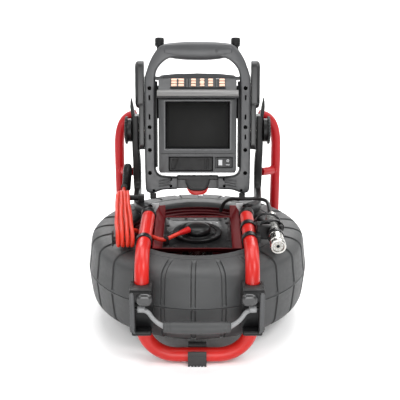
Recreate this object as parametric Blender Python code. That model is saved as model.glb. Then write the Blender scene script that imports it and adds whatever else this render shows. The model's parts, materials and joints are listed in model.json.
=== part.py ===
"""Drain inspection camera: cable drum in a tube frame, with a tilting monitor dock.

Metres, +Z up, X to the right seen from the front, -Y towards the user.
The working frame has its origin on the drum's axis in the plane of the drum's seam;
it is raised by SEAM_Z so that the feet stand on z = 0, and moved by Y_SHIFT so that
the middle of the footprint lies on the origin.
"""
import math
import bpy
import bmesh
from mathutils import Vector, Matrix

# ---------------------------------------------------------------- driving dimensions
SEAM_Z = 0.1080          # drum seam above the floor
Y_SHIFT = 0.0145         # set so that the footprint is centred
DRUM_R = 0.2120          # drum radius at the seam
DRUM_TOP = 0.0715        # top face above the seam
DRUM_BOT = -0.0737       # bottom face below the seam
DRUM_WALL = 0.0035
RIM_R = 0.1330           # radius of the drum's top opening
TUBE_R = 0.0127          # front tube, 1 inch
TUBE_X = 0.0965          # front tube's uprights
TUBE_Y = -0.2062         # plane of the front tube's uprights
TUBE_TOP = 0.0895        # height of its run over the drum
RAIL_R = 0.0100          # rear tube
RAIL_X = 0.1652
RAIL_Y = 0.1950
PIVOT_Y = 0.1500         # dock tilt axis
PIVOT_Z = 0.2210
DOCK_TILT = 13.0         # degrees back from vertical at rest
CABLE_R = 0.0038         # system cable
PUSH_R = 0.0036          # push cable
HANDLE_Y = -0.2300       # front handle's hinge axis
HANDLE_Z = 0.0110

for _o in list(bpy.data.objects):
    bpy.data.objects.remove(_o, do_unlink=True)

COL = bpy.context.scene.collection


def material(name, rgb, rough, metal=0.0):
    m = bpy.data.materials.new(name)
    m.use_nodes = True
    b = m.node_tree.nodes["Principled BSDF"]
    b.inputs["Base Color"].default_value = (rgb[0], rgb[1], rgb[2], 1.0)
    b.inputs["Roughness"].default_value = rough
    b.inputs["Metallic"].default_value = metal
    return m


RED_PAINT = material("red_paint", (0.62, 0.018, 0.020), 0.32)
DARK_RED = material("dark_red_paint", (0.20, 0.008, 0.012), 0.40)
DRUM_GREY = material("drum_grey_plastic", (0.085, 0.088, 0.092), 0.48)
DOCK_GREY = material("dock_grey_plastic", (0.110, 0.115, 0.125), 0.42)
BLACK = material("black_plastic", (0.018, 0.018, 0.020), 0.45)
CASE_GREY = material("case_grey_plastic", (0.045, 0.047, 0.052), 0.40)
RUBBER = material("black_rubber", (0.020, 0.020, 0.020), 0.80)
GLASS = material("screen_glass", (0.012, 0.014, 0.015), 0.08)
STEEL = material("steel", (0.58, 0.58, 0.57), 0.25, 1.0)
ALU = material("light_grey_metal", (0.50, 0.51, 0.53), 0.40, 0.6)
CABLE = material("red_cable_jacket", (0.80, 0.060, 0.030), 0.45)
CABLE_DK = material("push_cable_jacket", (0.16, 0.012, 0.014), 0.50)
PCB = material("circuit_board_green", (0.02, 0.12, 0.05), 0.50)
KEYS = material("key_rubber", (0.60, 0.42, 0.38), 0.55)

ROOT = bpy.data.objects.new("object_origin", None)
COL.objects.link(ROOT)
ROOT.location = (0.0, Y_SHIFT, SEAM_Z)


def empty(name, loc, parent, rot=(0.0, 0.0, 0.0)):
    e = bpy.data.objects.new(name, None)
    COL.objects.link(e)
    e.parent = parent
    e.location = loc
    e.rotation_euler = rot
    return e


DRUM_AXIS = empty("drum_axis", (0, 0, 0), ROOT)
DOCK_AXIS = empty("dock_tilt_axis", (0, PIVOT_Y, PIVOT_Z), ROOT, (math.radians(-DOCK_TILT), 0, 0))
HANDLE_AXIS = empty("front_handle_axis", (0, HANDLE_Y, HANDLE_Z), ROOT)


def put(me, name, mat, parent=None, loc=(0, 0, 0), rot=(0, 0, 0), smooth=True):
    me.name = name
    me.materials.append(mat)
    if smooth:
        me.shade_smooth()
        me.set_sharp_from_angle(angle=math.radians(35))
    o = bpy.data.objects.new(name, me)
    COL.objects.link(o)
    o.parent = parent if parent else ROOT
    o.location = loc
    o.rotation_euler = rot
    return o


def from_bm(bm, name, mat, parent=None, loc=(0, 0, 0), rot=(0, 0, 0), smooth=True):
    bmesh.ops.recalc_face_normals(bm, faces=bm.faces[:])
    me = bpy.data.meshes.new(name)
    bm.to_mesh(me)
    bm.free()
    return put(me, name, mat, parent, loc, rot, smooth)


def ring_tube(sections, closed=False):
    """Bridges equal-count rings of points into one closed skin with end caps."""
    bm = bmesh.new()
    rings = [[bm.verts.new(p) for p in s] for s in sections]
    n = len(rings[0])
    pairs = list(zip(rings[:-1], rings[1:]))
    if closed:
        pairs.append((rings[-1], rings[0]))
    for a, b in pairs:
        for i in range(n):
            j = (i + 1) % n
            bm.faces.new((a[i], a[j], b[j], b[i]))
    if not closed:
        bm.faces.new(list(reversed(rings[0])))
        bm.faces.new(rings[-1])
    return bm


def frames(pts, up0=Vector((1, 0, 0))):
    """Parallel-transport frames along a path."""
    P = [Vector(p) for p in pts]
    T = []
    for i in range(len(P)):
        a = P[max(i - 1, 0)]
        b = P[min(i + 1, len(P) - 1)]
        T.append((b - a).normalized())
    u = (up0 - T[0] * up0.dot(T[0])).normalized()
    out = []
    for i in range(len(P)):
        u = (u - T[i] * u.dot(T[i])).normalized()
        out.append((P[i], T[i], u, T[i].cross(u)))
    return out


def pipe(pts, r, sides=14, up0=Vector((1, 0, 0))):
    secs = []
    for p, t, u, v in frames(pts, up0):
        secs.append([p + r * (math.cos(2 * math.pi * k / sides) * u + math.sin(2 * math.pi * k / sides) * v)
                     for k in range(sides)])
    return ring_tube(secs)


def strap(pts, w, h, up0=Vector((1, 0, 0)), ch=0.0015):
    """A bar of rectangular section w (along up0) by h, its corners taken off by ch."""
    secs = []
    ws = w if isinstance(w, (list, tuple)) else [w] * len(pts)
    hs = h if isinstance(h, (list, tuple)) else [h] * len(pts)
    for (p, t, u, v), a, b in zip(frames(pts, up0), ws, hs):
        a, b = a / 2, b / 2
        c = ch
        loop = [(a - c, -b), (a, -b + c), (a, b - c), (a - c, b), (-a + c, b), (-a, b - c), (-a, -b + c), (-a + c, -b)]
        secs.append([p + x * u + y * v for x, y in loop])
    return ring_tube(secs)


def arc(c, r, a0, a1, n, plane="yz", x=0.0):
    """Points of an arc about c (two numbers in the given plane), degrees."""
    out = []
    for k in range(n + 1):
        a = math.radians(a0 + (a1 - a0) * k / n)
        p, q = c[0] + r * math.cos(a), c[1] + r * math.sin(a)
        out.append((x, p, q) if plane == "yz" else (p, x, q) if plane == "xz" else (p, q, x))
    return out


def lathe(profile, seg=48, axis="z"):
    """Turns a closed loop of (radius, height) points; a point on the axis closes to a pole."""
    bm = bmesh.new()
    rings = []
    for r, z in profile:
        if r < 1e-7:
            rings.append([bm.verts.new((0, 0, z))])
        else:
            rings.append([bm.verts.new((r * math.cos(2 * math.pi * k / seg), r * math.sin(2 * math.pi * k / seg), z))
                          for k in range(seg)])
    n = len(rings)
    for i in range(n):
        a, b = rings[i], rings[(i + 1) % n]
        if len(a) == 1 and len(b) == 1:
            continue
        for k in range(seg):
            j = (k + 1) % seg
            if len(a) == 1:
                bm.faces.new((a[0], b[j], b[k]))
            elif len(b) == 1:
                bm.faces.new((a[k], a[j], b[0]))
            else:
                bm.faces.new((a[k], a[j], b[j], b[k]))
    if axis == "x":
        bmesh.ops.rotate(bm, verts=bm.verts, cent=(0, 0, 0), matrix=Matrix.Rotation(math.radians(90), 3, "Y"))
    elif axis == "y":
        bmesh.ops.rotate(bm, verts=bm.verts, cent=(0, 0, 0), matrix=Matrix.Rotation(math.radians(90), 3, "X"))
    return bm


def prism(outline, a, b, axis="y"):
    """Extrudes a closed 2D outline between a and b along an axis."""
    bm = bmesh.new()
    def at(p, q, h):
        return (p, h, q) if axis == "y" else (h, p, q) if axis == "x" else (p, q, h)
    lo = [bm.verts.new(at(p, q, a)) for p, q in outline]
    hi = [bm.verts.new(at(p, q, b)) for p, q in outline]
    n = len(outline)
    for i in range(n):
        j = (i + 1) % n
        bm.faces.new((lo[i], lo[j], hi[j], hi[i]))
    bm.faces.new(list(reversed(lo)))
    bm.faces.new(hi)
    return bm


def block(x0, x1, y0, y1, z0, z1, bevel=0.0, seg=1):
    bm = bmesh.new()
    bmesh.ops.create_cube(bm, size=1.0)
    for v in bm.verts:
        v.co = Vector(((x0 + x1) / 2 + v.co.x * (x1 - x0), (y0 + y1) / 2 + v.co.y * (y1 - y0),
                       (z0 + z1) / 2 + v.co.z * (z1 - z0)))
    if bevel > 0:
        bmesh.ops.bevel(bm, geom=bm.edges[:], offset=bevel, segments=seg, affect="EDGES", profile=0.5)
    return bm


def rounded(x0, x1, z0, z1, r, n=3):
    """Rounded rectangle outline, counter-clockwise."""
    out = []
    for cx, cz, a0 in ((x1 - r, z0 + r, -90), (x1 - r, z1 - r, 0), (x0 + r, z1 - r, 90), (x0 + r, z0 + r, 180)):
        for k in range(n + 1):
            a = math.radians(a0 + 90 * k / n)
            out.append((cx + r * math.cos(a), cz + r * math.sin(a)))
    return out


def cut(target, cutter, op="DIFFERENCE"):
    cutter.hide_render = True
    cutter.display_type = "WIRE"
    m = target.modifiers.new(op.lower() + "_" + cutter.name, "BOOLEAN")
    m.operation = op
    m.object = cutter
    m.solver = "EXACT"


def cylinder_y(x, z, r, y0, y1, sides=12):
    out = [(x + r * math.cos(2 * math.pi * k / sides), z + r * math.sin(2 * math.pi * k / sides)) for k in range(sides)]
    return prism(out, y0, y1, "y")


def merged(bms):
    """Puts separate closed shells in one mesh, for use as a group of cutters."""
    me = bpy.data.meshes.new("tmp")
    bm = bmesh.new()
    for b in bms:
        b.to_mesh(me)
        bm.from_mesh(me)
        b.free()
    bpy.data.meshes.remove(me)
    return bm


def mirror_x(bm):
    for v in bm.verts:
        v.co.x = -v.co.x
    bmesh.ops.reverse_faces(bm, faces=bm.faces[:])
    return bm


def bezier(p0, p1, p2, p3, n):
    p0, p1, p2, p3 = (Vector(p) for p in (p0, p1, p2, p3))
    return [((1 - t) ** 3 * p0 + 3 * t * (1 - t) ** 2 * p1 + 3 * t * t * (1 - t) * p2 + t ** 3 * p3)
            for t in (k / n for k in range(n + 1))]


# ---------------------------------------------------------------- front tube
def front_half(s):
    """One side of the front tube, from its rear end over the drum, down to the ground bar."""
    top = TUBE_TOP
    c = (TUBE_Y + 0.055, top - 0.055)
    pts = [(-0.0945, 0.0240, top + 0.0005), (-0.0955, -0.030, top + 0.0003)]
    pts += [(-TUBE_X, y, z) for _, y, z in arc(c, 0.055, 90, 180, 7)]
    pts += [(-TUBE_X, TUBE_Y, -0.031)]
    pts += [(x, TUBE_Y, z) for x, _, z in arc((-TUBE_X + 0.060, -0.0325), 0.060, 189, 270, 7, "xz")]
    return [(s * -1 * x if s > 0 else x, y, z) for x, y, z in pts]


_l = front_half(-1)
_r = [(-x, y, z) for x, y, z in _l]
TUBE_PATH = _l + list(reversed(_r))
from_bm(pipe(TUBE_PATH, TUBE_R, 12), "front_tube", RED_PAINT)


def tube_seat(side, a, b, name):
    """Cutter along points a to b of one side of the front tube, a little wider than the tube."""
    n = len(TUBE_PATH) // 2
    full = frames(TUBE_PATH)
    idx = range(a, b) if side < 0 else range(2 * n - b, 2 * n - a)
    r = (TUBE_R + 0.0005) / math.cos(math.pi / 12)
    secs = []
    for i in idx:
        p, t, u, v = full[i]
        secs.append([p + r * (math.cos(2 * math.pi * k / 12) * u + math.sin(2 * math.pi * k / 12) * v) for k in range(12)])
    return from_bm(ring_tube(secs), name, RED_PAINT)


# ---------------------------------------------------------------- rear tube with its two braces
def rear_half():
    pts = [(-0.1272, 0.1787, 0.2462), (-0.1310, 0.1795, 0.2452)]
    pts += [tuple(p) for p in bezier((-0.1345, 0.1808, 0.2440), (-0.1540, 0.1890, 0.2360), (-0.1632, 0.1945, 0.2150),
                                     (-0.1648, RAIL_Y, 0.1780), 7)]
    pts += [(-RAIL_X, RAIL_Y, 0.1500), (-RAIL_X, RAIL_Y, 0.040), (-RAIL_X, RAIL_Y, -0.034)]
    pts += [(x, RAIL_Y, z) for x, _, z in arc((-RAIL_X + 0.060, -0.034), 0.060, 192, 270, 6, "xz")]
    return pts


_l = rear_half()
_r = [(-x, y, z) for x, y, z in _l]
rear = from_bm(pipe(_l + list(reversed(_r)), RAIL_R, 10), "rear_tube", RED_PAINT)
for s, nm in ((-1, "left"), (1, "right")):
    st = from_bm(pipe([(s * 0.1337, 0.1530, 0.1225), (s * 0.1400, 0.1530, 0.1225), (s * 0.1510, 0.1640, 0.1225), (s * 0.1625, 0.1925, 0.1225)],
                      0.0078, 10, Vector((0, 0, 1))),
                 "brace_join_" + nm, RED_PAINT)
    cut(rear, st, "UNION")

# ---------------------------------------------------------------- stand legs
for s, nm in ((-1, "left"), (1, "right")):
    pts = [(s * 0.1267, 0.1500, 0.2530), (s * 0.1267, 0.1500, 0.1800), (s * 0.1255, 0.1500, 0.1600),
           (s * 0.1250, 0.1500, 0.1180), (s * 0.1245, 0.1440, 0.1010), (s * 0.1235, 0.1300, 0.0915),
           (s * 0.1225, 0.1000, 0.0885), (s * 0.1180, 0.0660, 0.0890), (s * 0.1040, 0.0430, 0.0895),
           (s * 0.0962, 0.0318, 0.0897)]
    w = [0.0138, 0.0138, 0.0150, 0.0160, 0.0150, 0.0140, 0.0140, 0.0160, 0.0190, 0.0200]
    h = [0.0200, 0.0280, 0.0280, 0.0280, 0.0270, 0.0240, 0.0220, 0.0220, 0.0230, 0.0230]
    leg = from_bm(strap(pts, w, h, Vector((1, 0, 0)), 0.002), nm + "_leg", BLACK)
    hole = from_bm(lathe([(0, -0.02), (0.0075, -0.02), (0.0075, 0.02), (0, 0.02)], 12, "x"), "leg_bore_" + nm, BLACK,
                   None, (s * 0.1267, PIVOT_Y, PIVOT_Z))
    cut(leg, hole)
    # curved ear standing up from the top of the leg
    ear = [(s * x, z) for x, z in ((0.1276, 0.2500), (0.1334, 0.2500), (0.1352, 0.2600), (0.1360, 0.2710), (0.1352, 0.2830), (0.1338, 0.2895),
                                   (0.1322, 0.2850), (0.1296, 0.2720), (0.1280, 0.2620))]
    cut(leg, from_bm(prism(ear, 0.1430, 0.1570, "y"), "leg_ear_" + nm, BLACK), "UNION")

# ---------------------------------------------------------------- feet
FLOOR = -SEAM_Z
foot = from_bm(block(-0.0165, 0.0165, TUBE_Y - 0.0175, TUBE_Y + 0.0175, FLOOR, -0.0762, 0.002), "front_foot", RUBBER)
cut(foot, from_bm(lathe([(0, -0.03), (TUBE_R + 0.0004, -0.03), (TUBE_R + 0.0004, 0.03), (0, 0.03)], 18, "x"),
                  "front_foot_bore", RUBBER, None, (0, TUBE_Y, -0.0925)))
for s, nm in ((-1, "left"), (1, "right")):
    f = from_bm(block(s * 0.085 - 0.015, s * 0.085 + 0.015, RAIL_Y - 0.0145, RAIL_Y + 0.0145, FLOOR, -0.0805, 0.002),
                "rear_foot_" + nm, RUBBER)
    cut(f, from_bm(lathe([(0, -0.03), (RAIL_R + 0.0004, -0.03), (RAIL_R + 0.0004, 0.03), (0, 0.03)], 16, "x"),
                   "rear_foot_bore_" + nm, RUBBER, None, (s * 0.085, RAIL_Y, -0.0940)))

# ---------------------------------------------------------------- drum (turns about Z)
SHOULDER = [(RIM_R, 0.0620), (RIM_R + 0.0010, 0.0672), (RIM_R + 0.0045, 0.0695), (0.1500, 0.0712), (0.1720, 0.0702), (0.1880, 0.0675),
            (0.1985, 0.0635), (0.2040, 0.0580)]


def shell_profile(outer, wall):
    """Closed section of a shell: the outer line, then the same line moved inwards."""
    inner = []
    n = len(outer)
    for i in range(n):
        a = Vector(outer[max(i - 1, 0)])
        b = Vector(outer[min(i + 1, n - 1)])
        t = (b - a).normalized()
        nrm = Vector((t.y, -t.x))
        inner.append((outer[i][0] + nrm.x * wall, outer[i][1] + nrm.y * wall))
    inner[-1] = (inner[-1][0], outer[-1][1])
    return list(outer) + list(reversed(inner))


up_outer = SHOULDER + [(0.2082, 0.0250), (DRUM_R, 0.0003)]
from_bm(lathe(shell_profile(up_outer, DRUM_WALL), 48), "drum_upper_shell", DRUM_GREY, DRUM_AXIS)
lo_outer = [(0.0500, DRUM_BOT), (0.1740, DRUM_BOT), (0.1870, -0.0722), (0.1970, -0.0672), (0.2035, -0.0590),
            (0.2067, -0.0490), (0.2095, -0.0240), (DRUM_R, -0.0003)]
inner = [(DRUM_R - 0.0036, -0.0003), (0.2060, -0.0240), (0.2032, -0.0490), (0.2000, -0.0570), (0.1945, -0.0640),
         (0.1855, -0.0688), (0.1740, -0.0702), (0.0500, -0.0702)]
from_bm(lathe(lo_outer + inner, 48), "drum_lower_shell", DRUM_GREY, DRUM_AXIS)
# inner spool: floor disc and hub sleeve that turn with the drum
from_bm(lathe([(0.0180, -0.0640), (0.1100, -0.0640), (0.1100, -0.0600), (0.0300, -0.0600), (0.0300, 0.0150),
               (0.0180, 0.0150)], 28), "drum_spool", BLACK, DRUM_AXIS)
from_bm(lathe([(0.1380, -0.0660), (0.1900, -0.0640), (0.1985, -0.0500), (0.2020, -0.0200), (0.2020, 0.0200),
               (0.1960, 0.0480), (0.1800, 0.0600), (0.1460, 0.0600), (0.1380, 0.0520)], 40), "push_cable_coil",
        CABLE_DK, DRUM_AXIS)
from_bm(lathe([(0.0000, -0.0700), (0.0420, -0.0700), (0.0420, -0.0660), (0.0140, -0.0660), (0.0140, 0.0400),
               (0.0000, 0.0400)], 20), "axle", STEEL)
from_bm(lathe([(0.0144, -0.0560), (0.0176, -0.0560), (0.0176, -0.0440), (0.0144, -0.0440)], 20), "lower_bearing",
        STEEL)
from_bm(lathe([(0.0144, 0.0020), (0.0176, 0.0020), (0.0176, 0.0140), (0.0144, 0.0140)], 20), "upper_bearing", STEEL)

# ---------------------------------------------------------------- red hub tub hung between the tubes
TUB_Z = 0.0530
PANEL_Y0, PANEL_Y1, PANEL_X = -0.0680, 0.0880, 0.0665


def tub():
    """Sheet tray: a floor, and walls that lean outwards on all four sides."""
    bm = bmesh.new()
    t = 0.0020
    px, y0, y1 = PANEL_X + 0.0012, PANEL_Y0 - 0.0012, PANEL_Y1 + 0.0012
    zi = TUB_Z - 0.0030
    ox = 0.0820
    # corners: floor ring and lip ring, inner side then outer side
    inner_lo = [(-px, y0, zi), (px, y0, zi), (px, y1, zi), (-px, y1, zi)]
    inner_hi = [(-ox, y0 - 0.0160, 0.0620), (ox, y0 - 0.0160, 0.0620), (ox - 0.001, y1 + 0.0010, 0.0790),
                (-ox + 0.001, y1 + 0.0010, 0.0790)]
    outer_hi = [(-ox - t, y0 - 0.0160 - t, 0.0620), (ox + t, y0 - 0.0160 - t, 0.0620), (ox - 0.001 + t, y1 + 0.0030, 0.0790),
                (-ox + 0.001 - t, y1 + 0.0030, 0.0790)]
    outer_lo = [(-px - t * 0.6, y0 - t * 0.6, zi - t), (px + t * 0.6, y0 - t * 0.6, zi - t),
                (px + t * 0.6, y1 + t * 0.6, zi - t), (-px - t * 0.6, y1 + t * 0.6, zi - t)]
    A, B, C, D = ([bm.verts.new(p) for p in ring] for ring in (inner_lo, inner_hi, outer_hi, outer_lo))
    for i in range(4):
        j = (i + 1) % 4
        bm.faces.new((A[i], A[j], B[j], B[i]))
        bm.faces.new((B[i], B[j], C[j], C[i]))
        bm.faces.new((C[i], C[j], D[j], D[i]))
    bm.faces.new(A)
    bm.faces.new(list(reversed(D)))
    return bm


tray = from_bm(tub(), "hub_tray", DARK_RED, smooth=False)
cut(tray, from_bm(lathe([(0, -0.02), (0.0190, -0.02), (0.0190, 0.02), (0, 0.02)], 24), "hub_tray_bore", DARK_RED, None,
                  (0, 0, TUB_Z - 0.004)))
cut(tray, from_bm(block(-0.0655, 0.0655, 0.0800, 0.1100, 0.0560, 0.1000), "hub_tray_back_gap", DARK_RED))
panel = from_bm(prism(rounded(-PANEL_X + 0.0006, PANEL_X - 0.0006, PANEL_Y0 + 0.0006, PANEL_Y1 - 0.0006, 0.004, 2),
                      TUB_Z - 0.0026, TUB_Z + 0.0010, "z"), "hub_cover_panel", BLACK)
cut(panel, from_bm(lathe([(0, -0.02), (0.0300, -0.02), (0.0300, 0.02), (0, 0.02)], 28), "hub_panel_bore", BLACK, None,
                   (0, 0, TUB_Z)))
from_bm(lathe([(0.0172, 0.0420), (0.0172, 0.0562), (0.0250, 0.0576), (0.0400, 0.0588), (0.0440, 0.0610), (0.0470, 0.0610), (0.0475, 0.0575),
               (0.0475, 0.0545), (0.0290, 0.0545), (0.0290, 0.0530), (0.0186, 0.0530), (0.0186, 0.0420)], 24),
        "slip_ring_body", BLACK)
cap = from_bm(lathe([(0.0, 0.0425), (0.0165, 0.0425), (0.0165, 0.0566), (0.0240, 0.0592), (0.0262, 0.0640),
                     (0.0235, 0.0700), (0.0150, 0.0738), (0.0, 0.0748)], 20), "slip_ring_cap", BLACK)

# ---------------------------------------------------------------- gusset plates by the tube ends
for s, nm in ((-1, "left"), (1, "right")):
    g = from_bm(prism([(s * 0.0900, 0.0995), (s * 0.0765, 0.0995), (s * 0.0765, 0.0935), (s * 0.0870, 0.0755),
                       (s * 0.0900, 0.0740)], 0.0478, 0.0506, "y"), nm + "_gusset_plate", ALU, smooth=False)
    cut(g, from_bm(prism([(s * 0.0875, 0.0950), (s * 0.0845, 0.0950), (s * 0.0845, 0.0850), (s * 0.0875, 0.0850)],
                         0.044, 0.054, "y"), "gusset_slot_" + nm, ALU))

# ---------------------------------------------------------------- front brackets and folding handle
for s, nm in ((-1, "left"), (1, "right")):
    cx = s * TUBE_X
    br = from_bm(block(cx - 0.0195, cx + 0.0195, TUBE_Y - 0.0330, TUBE_Y + 0.0030, -0.0330, 0.0500, 0.003),
                 nm + "_handle_bracket", BLACK)
    cut(br, tube_seat(s, 5, 14, "bracket_bore_" + nm))
    # recess for the handle's arm, open to the front, to the inner side and below
    xa, xb = sorted((cx + s * 0.0100, cx - s * 0.0300))
    cut(br, from_bm(block(xa, xb, TUBE_Y - 0.05, TUBE_Y - 0.0145, -0.0460, 0.0290), "bracket_slot_" + nm, BLACK))
    cut(br, from_bm(lathe([(0, -0.016), (0.0036, -0.016), (0.0036, 0.016), (0, 0.016)], 12, "x"), "bracket_pin_bore_" + nm,
                    BLACK, None, (cx, HANDLE_Y, HANDLE_Z)))
    cut(br, from_bm(lathe([(0, -0.09), (DRUM_R + 0.003, -0.09), (DRUM_R + 0.003, 0.06), (0, 0.06)], 64),
                    "bracket_drum_relief_" + nm, BLACK))
    from_bm(lathe([(0, -0.0110), (0.0032, -0.0110), (0.0032, 0.0110), (0, 0.0110)], 12, "x"), nm + "_handle_pin", STEEL,
            None, (s * (TUBE_X + 0.0045), HANDLE_Y, HANDLE_Z))


def handle():
    """Arms curve down and inwards from the pins to a thick grip."""
    pts = [(-TUBE_X, 0.0, 0.0070), (-TUBE_X + 0.0003, -0.0002, -0.0020), (-0.0915, -0.0012, -0.0085), (-0.0815, -0.0030, -0.0150),
           (-0.0720, -0.0050, -0.0225), (-0.0640, -0.0065, -0.0285), (-0.0570, -0.0075, -0.0310), (-0.0300, -0.0085, -0.0322),
           (0.0, -0.0088, -0.0325)]
    w = [0.0130, 0.0150, 0.0120, 0.0100, 0.0100, 0.0115, 0.0195, 0.0212, 0.0220]
    h = [0.0120, 0.0120, 0.0110, 0.0100, 0.0100, 0.0115, 0.0195, 0.0212, 0.0220]
    pts = pts + [(-x, y, z) for x, y, z in reversed(pts[:-1])]
    w = w + list(reversed(w[:-1]))
    h = h + list(reversed(h[:-1]))
    secs = []
    n = 12
    for (p, t, u, v), a, b in zip(frames(pts, Vector((0, 1, 0))), h, w):
        secs.append([p + u * (a / 2 * math.cos(2 * math.pi * k / n)) + v * (b / 2 * math.sin(2 * math.pi * k / n))
                     for k in range(n)])
    return ring_tube(secs)


hd = from_bm(handle(), "front_handle", DOCK_GREY, HANDLE_AXIS)
for s, nm in ((-1, "left"), (1, "right")):
    cut(hd, from_bm(lathe([(0, -0.02), (0.0036, -0.02), (0.0036, 0.02), (0, 0.02)], 12, "x"), "handle_bore_" + nm,
                    DOCK_GREY, HANDLE_AXIS, (s * TUBE_X, 0, 0)))

# ---------------------------------------------------------------- dock (tilts about X at the pivot)
RAIL_IN, RAIL_OUT = 0.0860, 0.1078


def dock_outline():
    """Left rail, lower web and right rail as one U; open at the top for the grip."""
    L = [(-RAIL_OUT, 0.1030), (-RAIL_OUT, -0.1150), (-0.1040, -0.1270), (-0.0940, -0.1290), (-0.0850, -0.1270),
         (-0.0780, -0.1240), (-0.0700, -0.1215), (-0.0440, -0.1205)]
    I = [(-0.0440, -0.0950), (-0.0700, -0.0935), (-0.0800, -0.0900), (-0.0850, -0.0820), (-RAIL_IN, -0.0700),
         (-RAIL_IN, 0.1080), (-0.0820, 0.1230), (-0.0745, 0.1330), (-0.0640, 0.1400), (-0.0500, 0.1430)]
    T = [(-0.0400, 0.1770), (-0.0660, 0.1745), (-0.0800, 0.1660), (-0.0950, 0.1430), (-0.1055, 0.1130)]
    left_low = L
    right_low = [(-x, y) for x, y in reversed(L)]
    inner_r = [(-x, y) for x, y in I]
    inner_l = list(reversed(I))
    top_r = [(-x, y) for x, y in reversed(T)]
    return left_low, right_low, inner_r, inner_l, T, top_r


ll, rl, ir, il, tl, tr = dock_outline()
outer = ll + rl + tr[:-1] + [(0.0400, 0.1775), (0.0, 0.1790), (-0.0400, 0.1775)] + tl[1:]
frame_bm = prism(outer, -0.0120, 0.0120, "y")
dock = from_bm(frame_bm, "dock_frame", DOCK_GREY, DOCK_AXIS)
window = [(-0.0440, -0.0950)] + ir[:1] + ir[1:] + il[:-1]
window = ir + [(0.0, 0.1400)] + il
cut(dock, from_bm(prism(window, -0.03, 0.03, "y"), "dock_window", DOCK_GREY, DOCK_AXIS))
cut(dock, from_bm(block(-0.0425, 0.0425, -0.03, 0.0030, -0.1300, -0.0910), "dock_web_notch", DOCK_GREY, DOCK_AXIS))
holes = []
for s in (-1, 1):
    for z in (0.0850, 0.0065, -0.0400, -0.0870):
        holes.append(cylinder_y(s * 0.0972, z, 0.0042, -0.03, 0.03, 10))
    for z in (0.0660, 0.0270, -0.0135):
        holes.append(prism(rounded(s * 0.0972 - 0.0018, s * 0.0972 + 0.0018, z - 0.0055, z + 0.0055, 0.0015, 1), -0.03, 0.03, "y"))
    for x, z in ((0.0545, -0.1000), (0.0545, -0.1140), (0.0895, -0.1230)):
        holes.append(cylinder_y(s * x, z, 0.0032, -0.03, 0.03, 8))
cut(dock, from_bm(merged(holes), "dock_holes", DOCK_GREY, DOCK_AXIS))
cut(dock, from_bm(cylinder_y(0.0385, 0.1590, 0.0036, -0.03, 0.03, 10), "dock_grip_hole", DOCK_GREY, DOCK_AXIS))
for s, nm in ((-1, "left"), (1, "right")):
    cut(dock, from_bm(lathe([(0, -0.0105), (0.0067, -0.0105), (0.0067, 0.0105), (0, 0.0105)], 12, "x"), "dock_bore_" + nm, DOCK_GREY,
                      DOCK_AXIS, (s * 0.1040, 0, 0)))
# dock back plate: carries the monitor from behind, fixed to the rails' rear faces
from_bm(prism(rounded(-0.1000, 0.1000, 0.0230, 0.0900, 0.010, 3), 0.0123, 0.0163, "y"), "dock_back_plate", BLACK, DOCK_AXIS)
for s, nm in ((-1, "left"), (1, "right")):
    # side arms run up outside the rails
    o = [(-0.0140, -0.0300), (-0.0090, -0.0370), (0.0, -0.0400), (0.0090, -0.0370), (0.0140, -0.0300), (0.0140, 0.1290), (0.0095, 0.1370), (0.0, 0.1405),
         (-0.0095, 0.1370), (-0.0140, 0.1290)]
    arm = from_bm(prism(o, min(s * 0.1083, s * 0.1190), max(s * 0.1083, s * 0.1190), "x"), nm + "_dock_arm", CASE_GREY, DOCK_AXIS)
    cut(arm, from_bm(lathe([(0, -0.02), (0.0067, -0.02), (0.0067, 0.02), (0, 0.02)], 12, "x"), "arm_bore_" + nm, CASE_GREY,
                     DOCK_AXIS, (s * 0.1140, 0, 0)))
    # pivot bolt through rail, arm, leg and knob
    from_bm(lathe([(0, -0.0175), (0.0063, -0.0175), (0.0063, 0.0175), (0, 0.0175)], 14, "x"), nm + "_pivot_bolt", STEEL,
            ROOT, (s * 0.1150, PIVOT_Y, PIVOT_Z))
    # above the leg the arm thickens outwards
    cut(arm, from_bm(prism([(-0.0140, 0.0440), (0.0140, 0.0440), (0.0140, 0.1290), (0.0095, 0.1370), (0.0, 0.1405), (-0.0095, 0.1370), (-0.0140, 0.1290)],
                           min(s * 0.1180, s * 0.1268), max(s * 0.1180, s * 0.1268), "x"), "arm_head_" + nm, CASE_GREY, DOCK_AXIS), "UNION")
    # black cap on its neck above the rail
    from_bm(lathe([(0, 0.0), (0.0075, 0.0), (0.0065, 0.0140), (0.0060, 0.0200), (0.0085, 0.0215), (0.0096, 0.0250), (0.0096, 0.0360), (0.0080, 0.0390),
                   (0, 0.0395)], 12), nm + "_cap_post", BLACK, DOCK_AXIS, (s * 0.0775, 0.0205, 0.1480))
    # neck base that ties the post to the rail
    cut(dock, from_bm(block(s * 0.0790 - 0.0105, s * 0.0790 + 0.0105, 0.0100, 0.0290, 0.1345, 0.1476, 0.0015), "post_base_" + nm, DOCK_GREY,
                      DOCK_AXIS), "UNION")
    from_bm(lathe([(0, -0.0115), (0.0058, -0.0115), (0.0065, -0.0090), (0.0065, 0.0), (0, 0.0)], 14), nm + "_dock_foot",
            RUBBER, DOCK_AXIS, (s * 0.0915, 0.0, -0.1297))
    # clamp knob outside the leg
    kn = [(0.0067, -0.0065), (0.0240, -0.0065), (0.0240, 0.0010), (0.0285, 0.0020), (0.0285, 0.0055), (0.0260, 0.0070), (0, 0.0070), (0, 0.0000),
          (0.0067, 0.0000)]
    kn = [(r, s * z) for r, z in kn]
    from_bm(lathe(kn, 20, "x"), nm + "_clamp_knob", BLACK, ROOT, (s * 0.1405, PIVOT_Y, PIVOT_Z))

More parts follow.
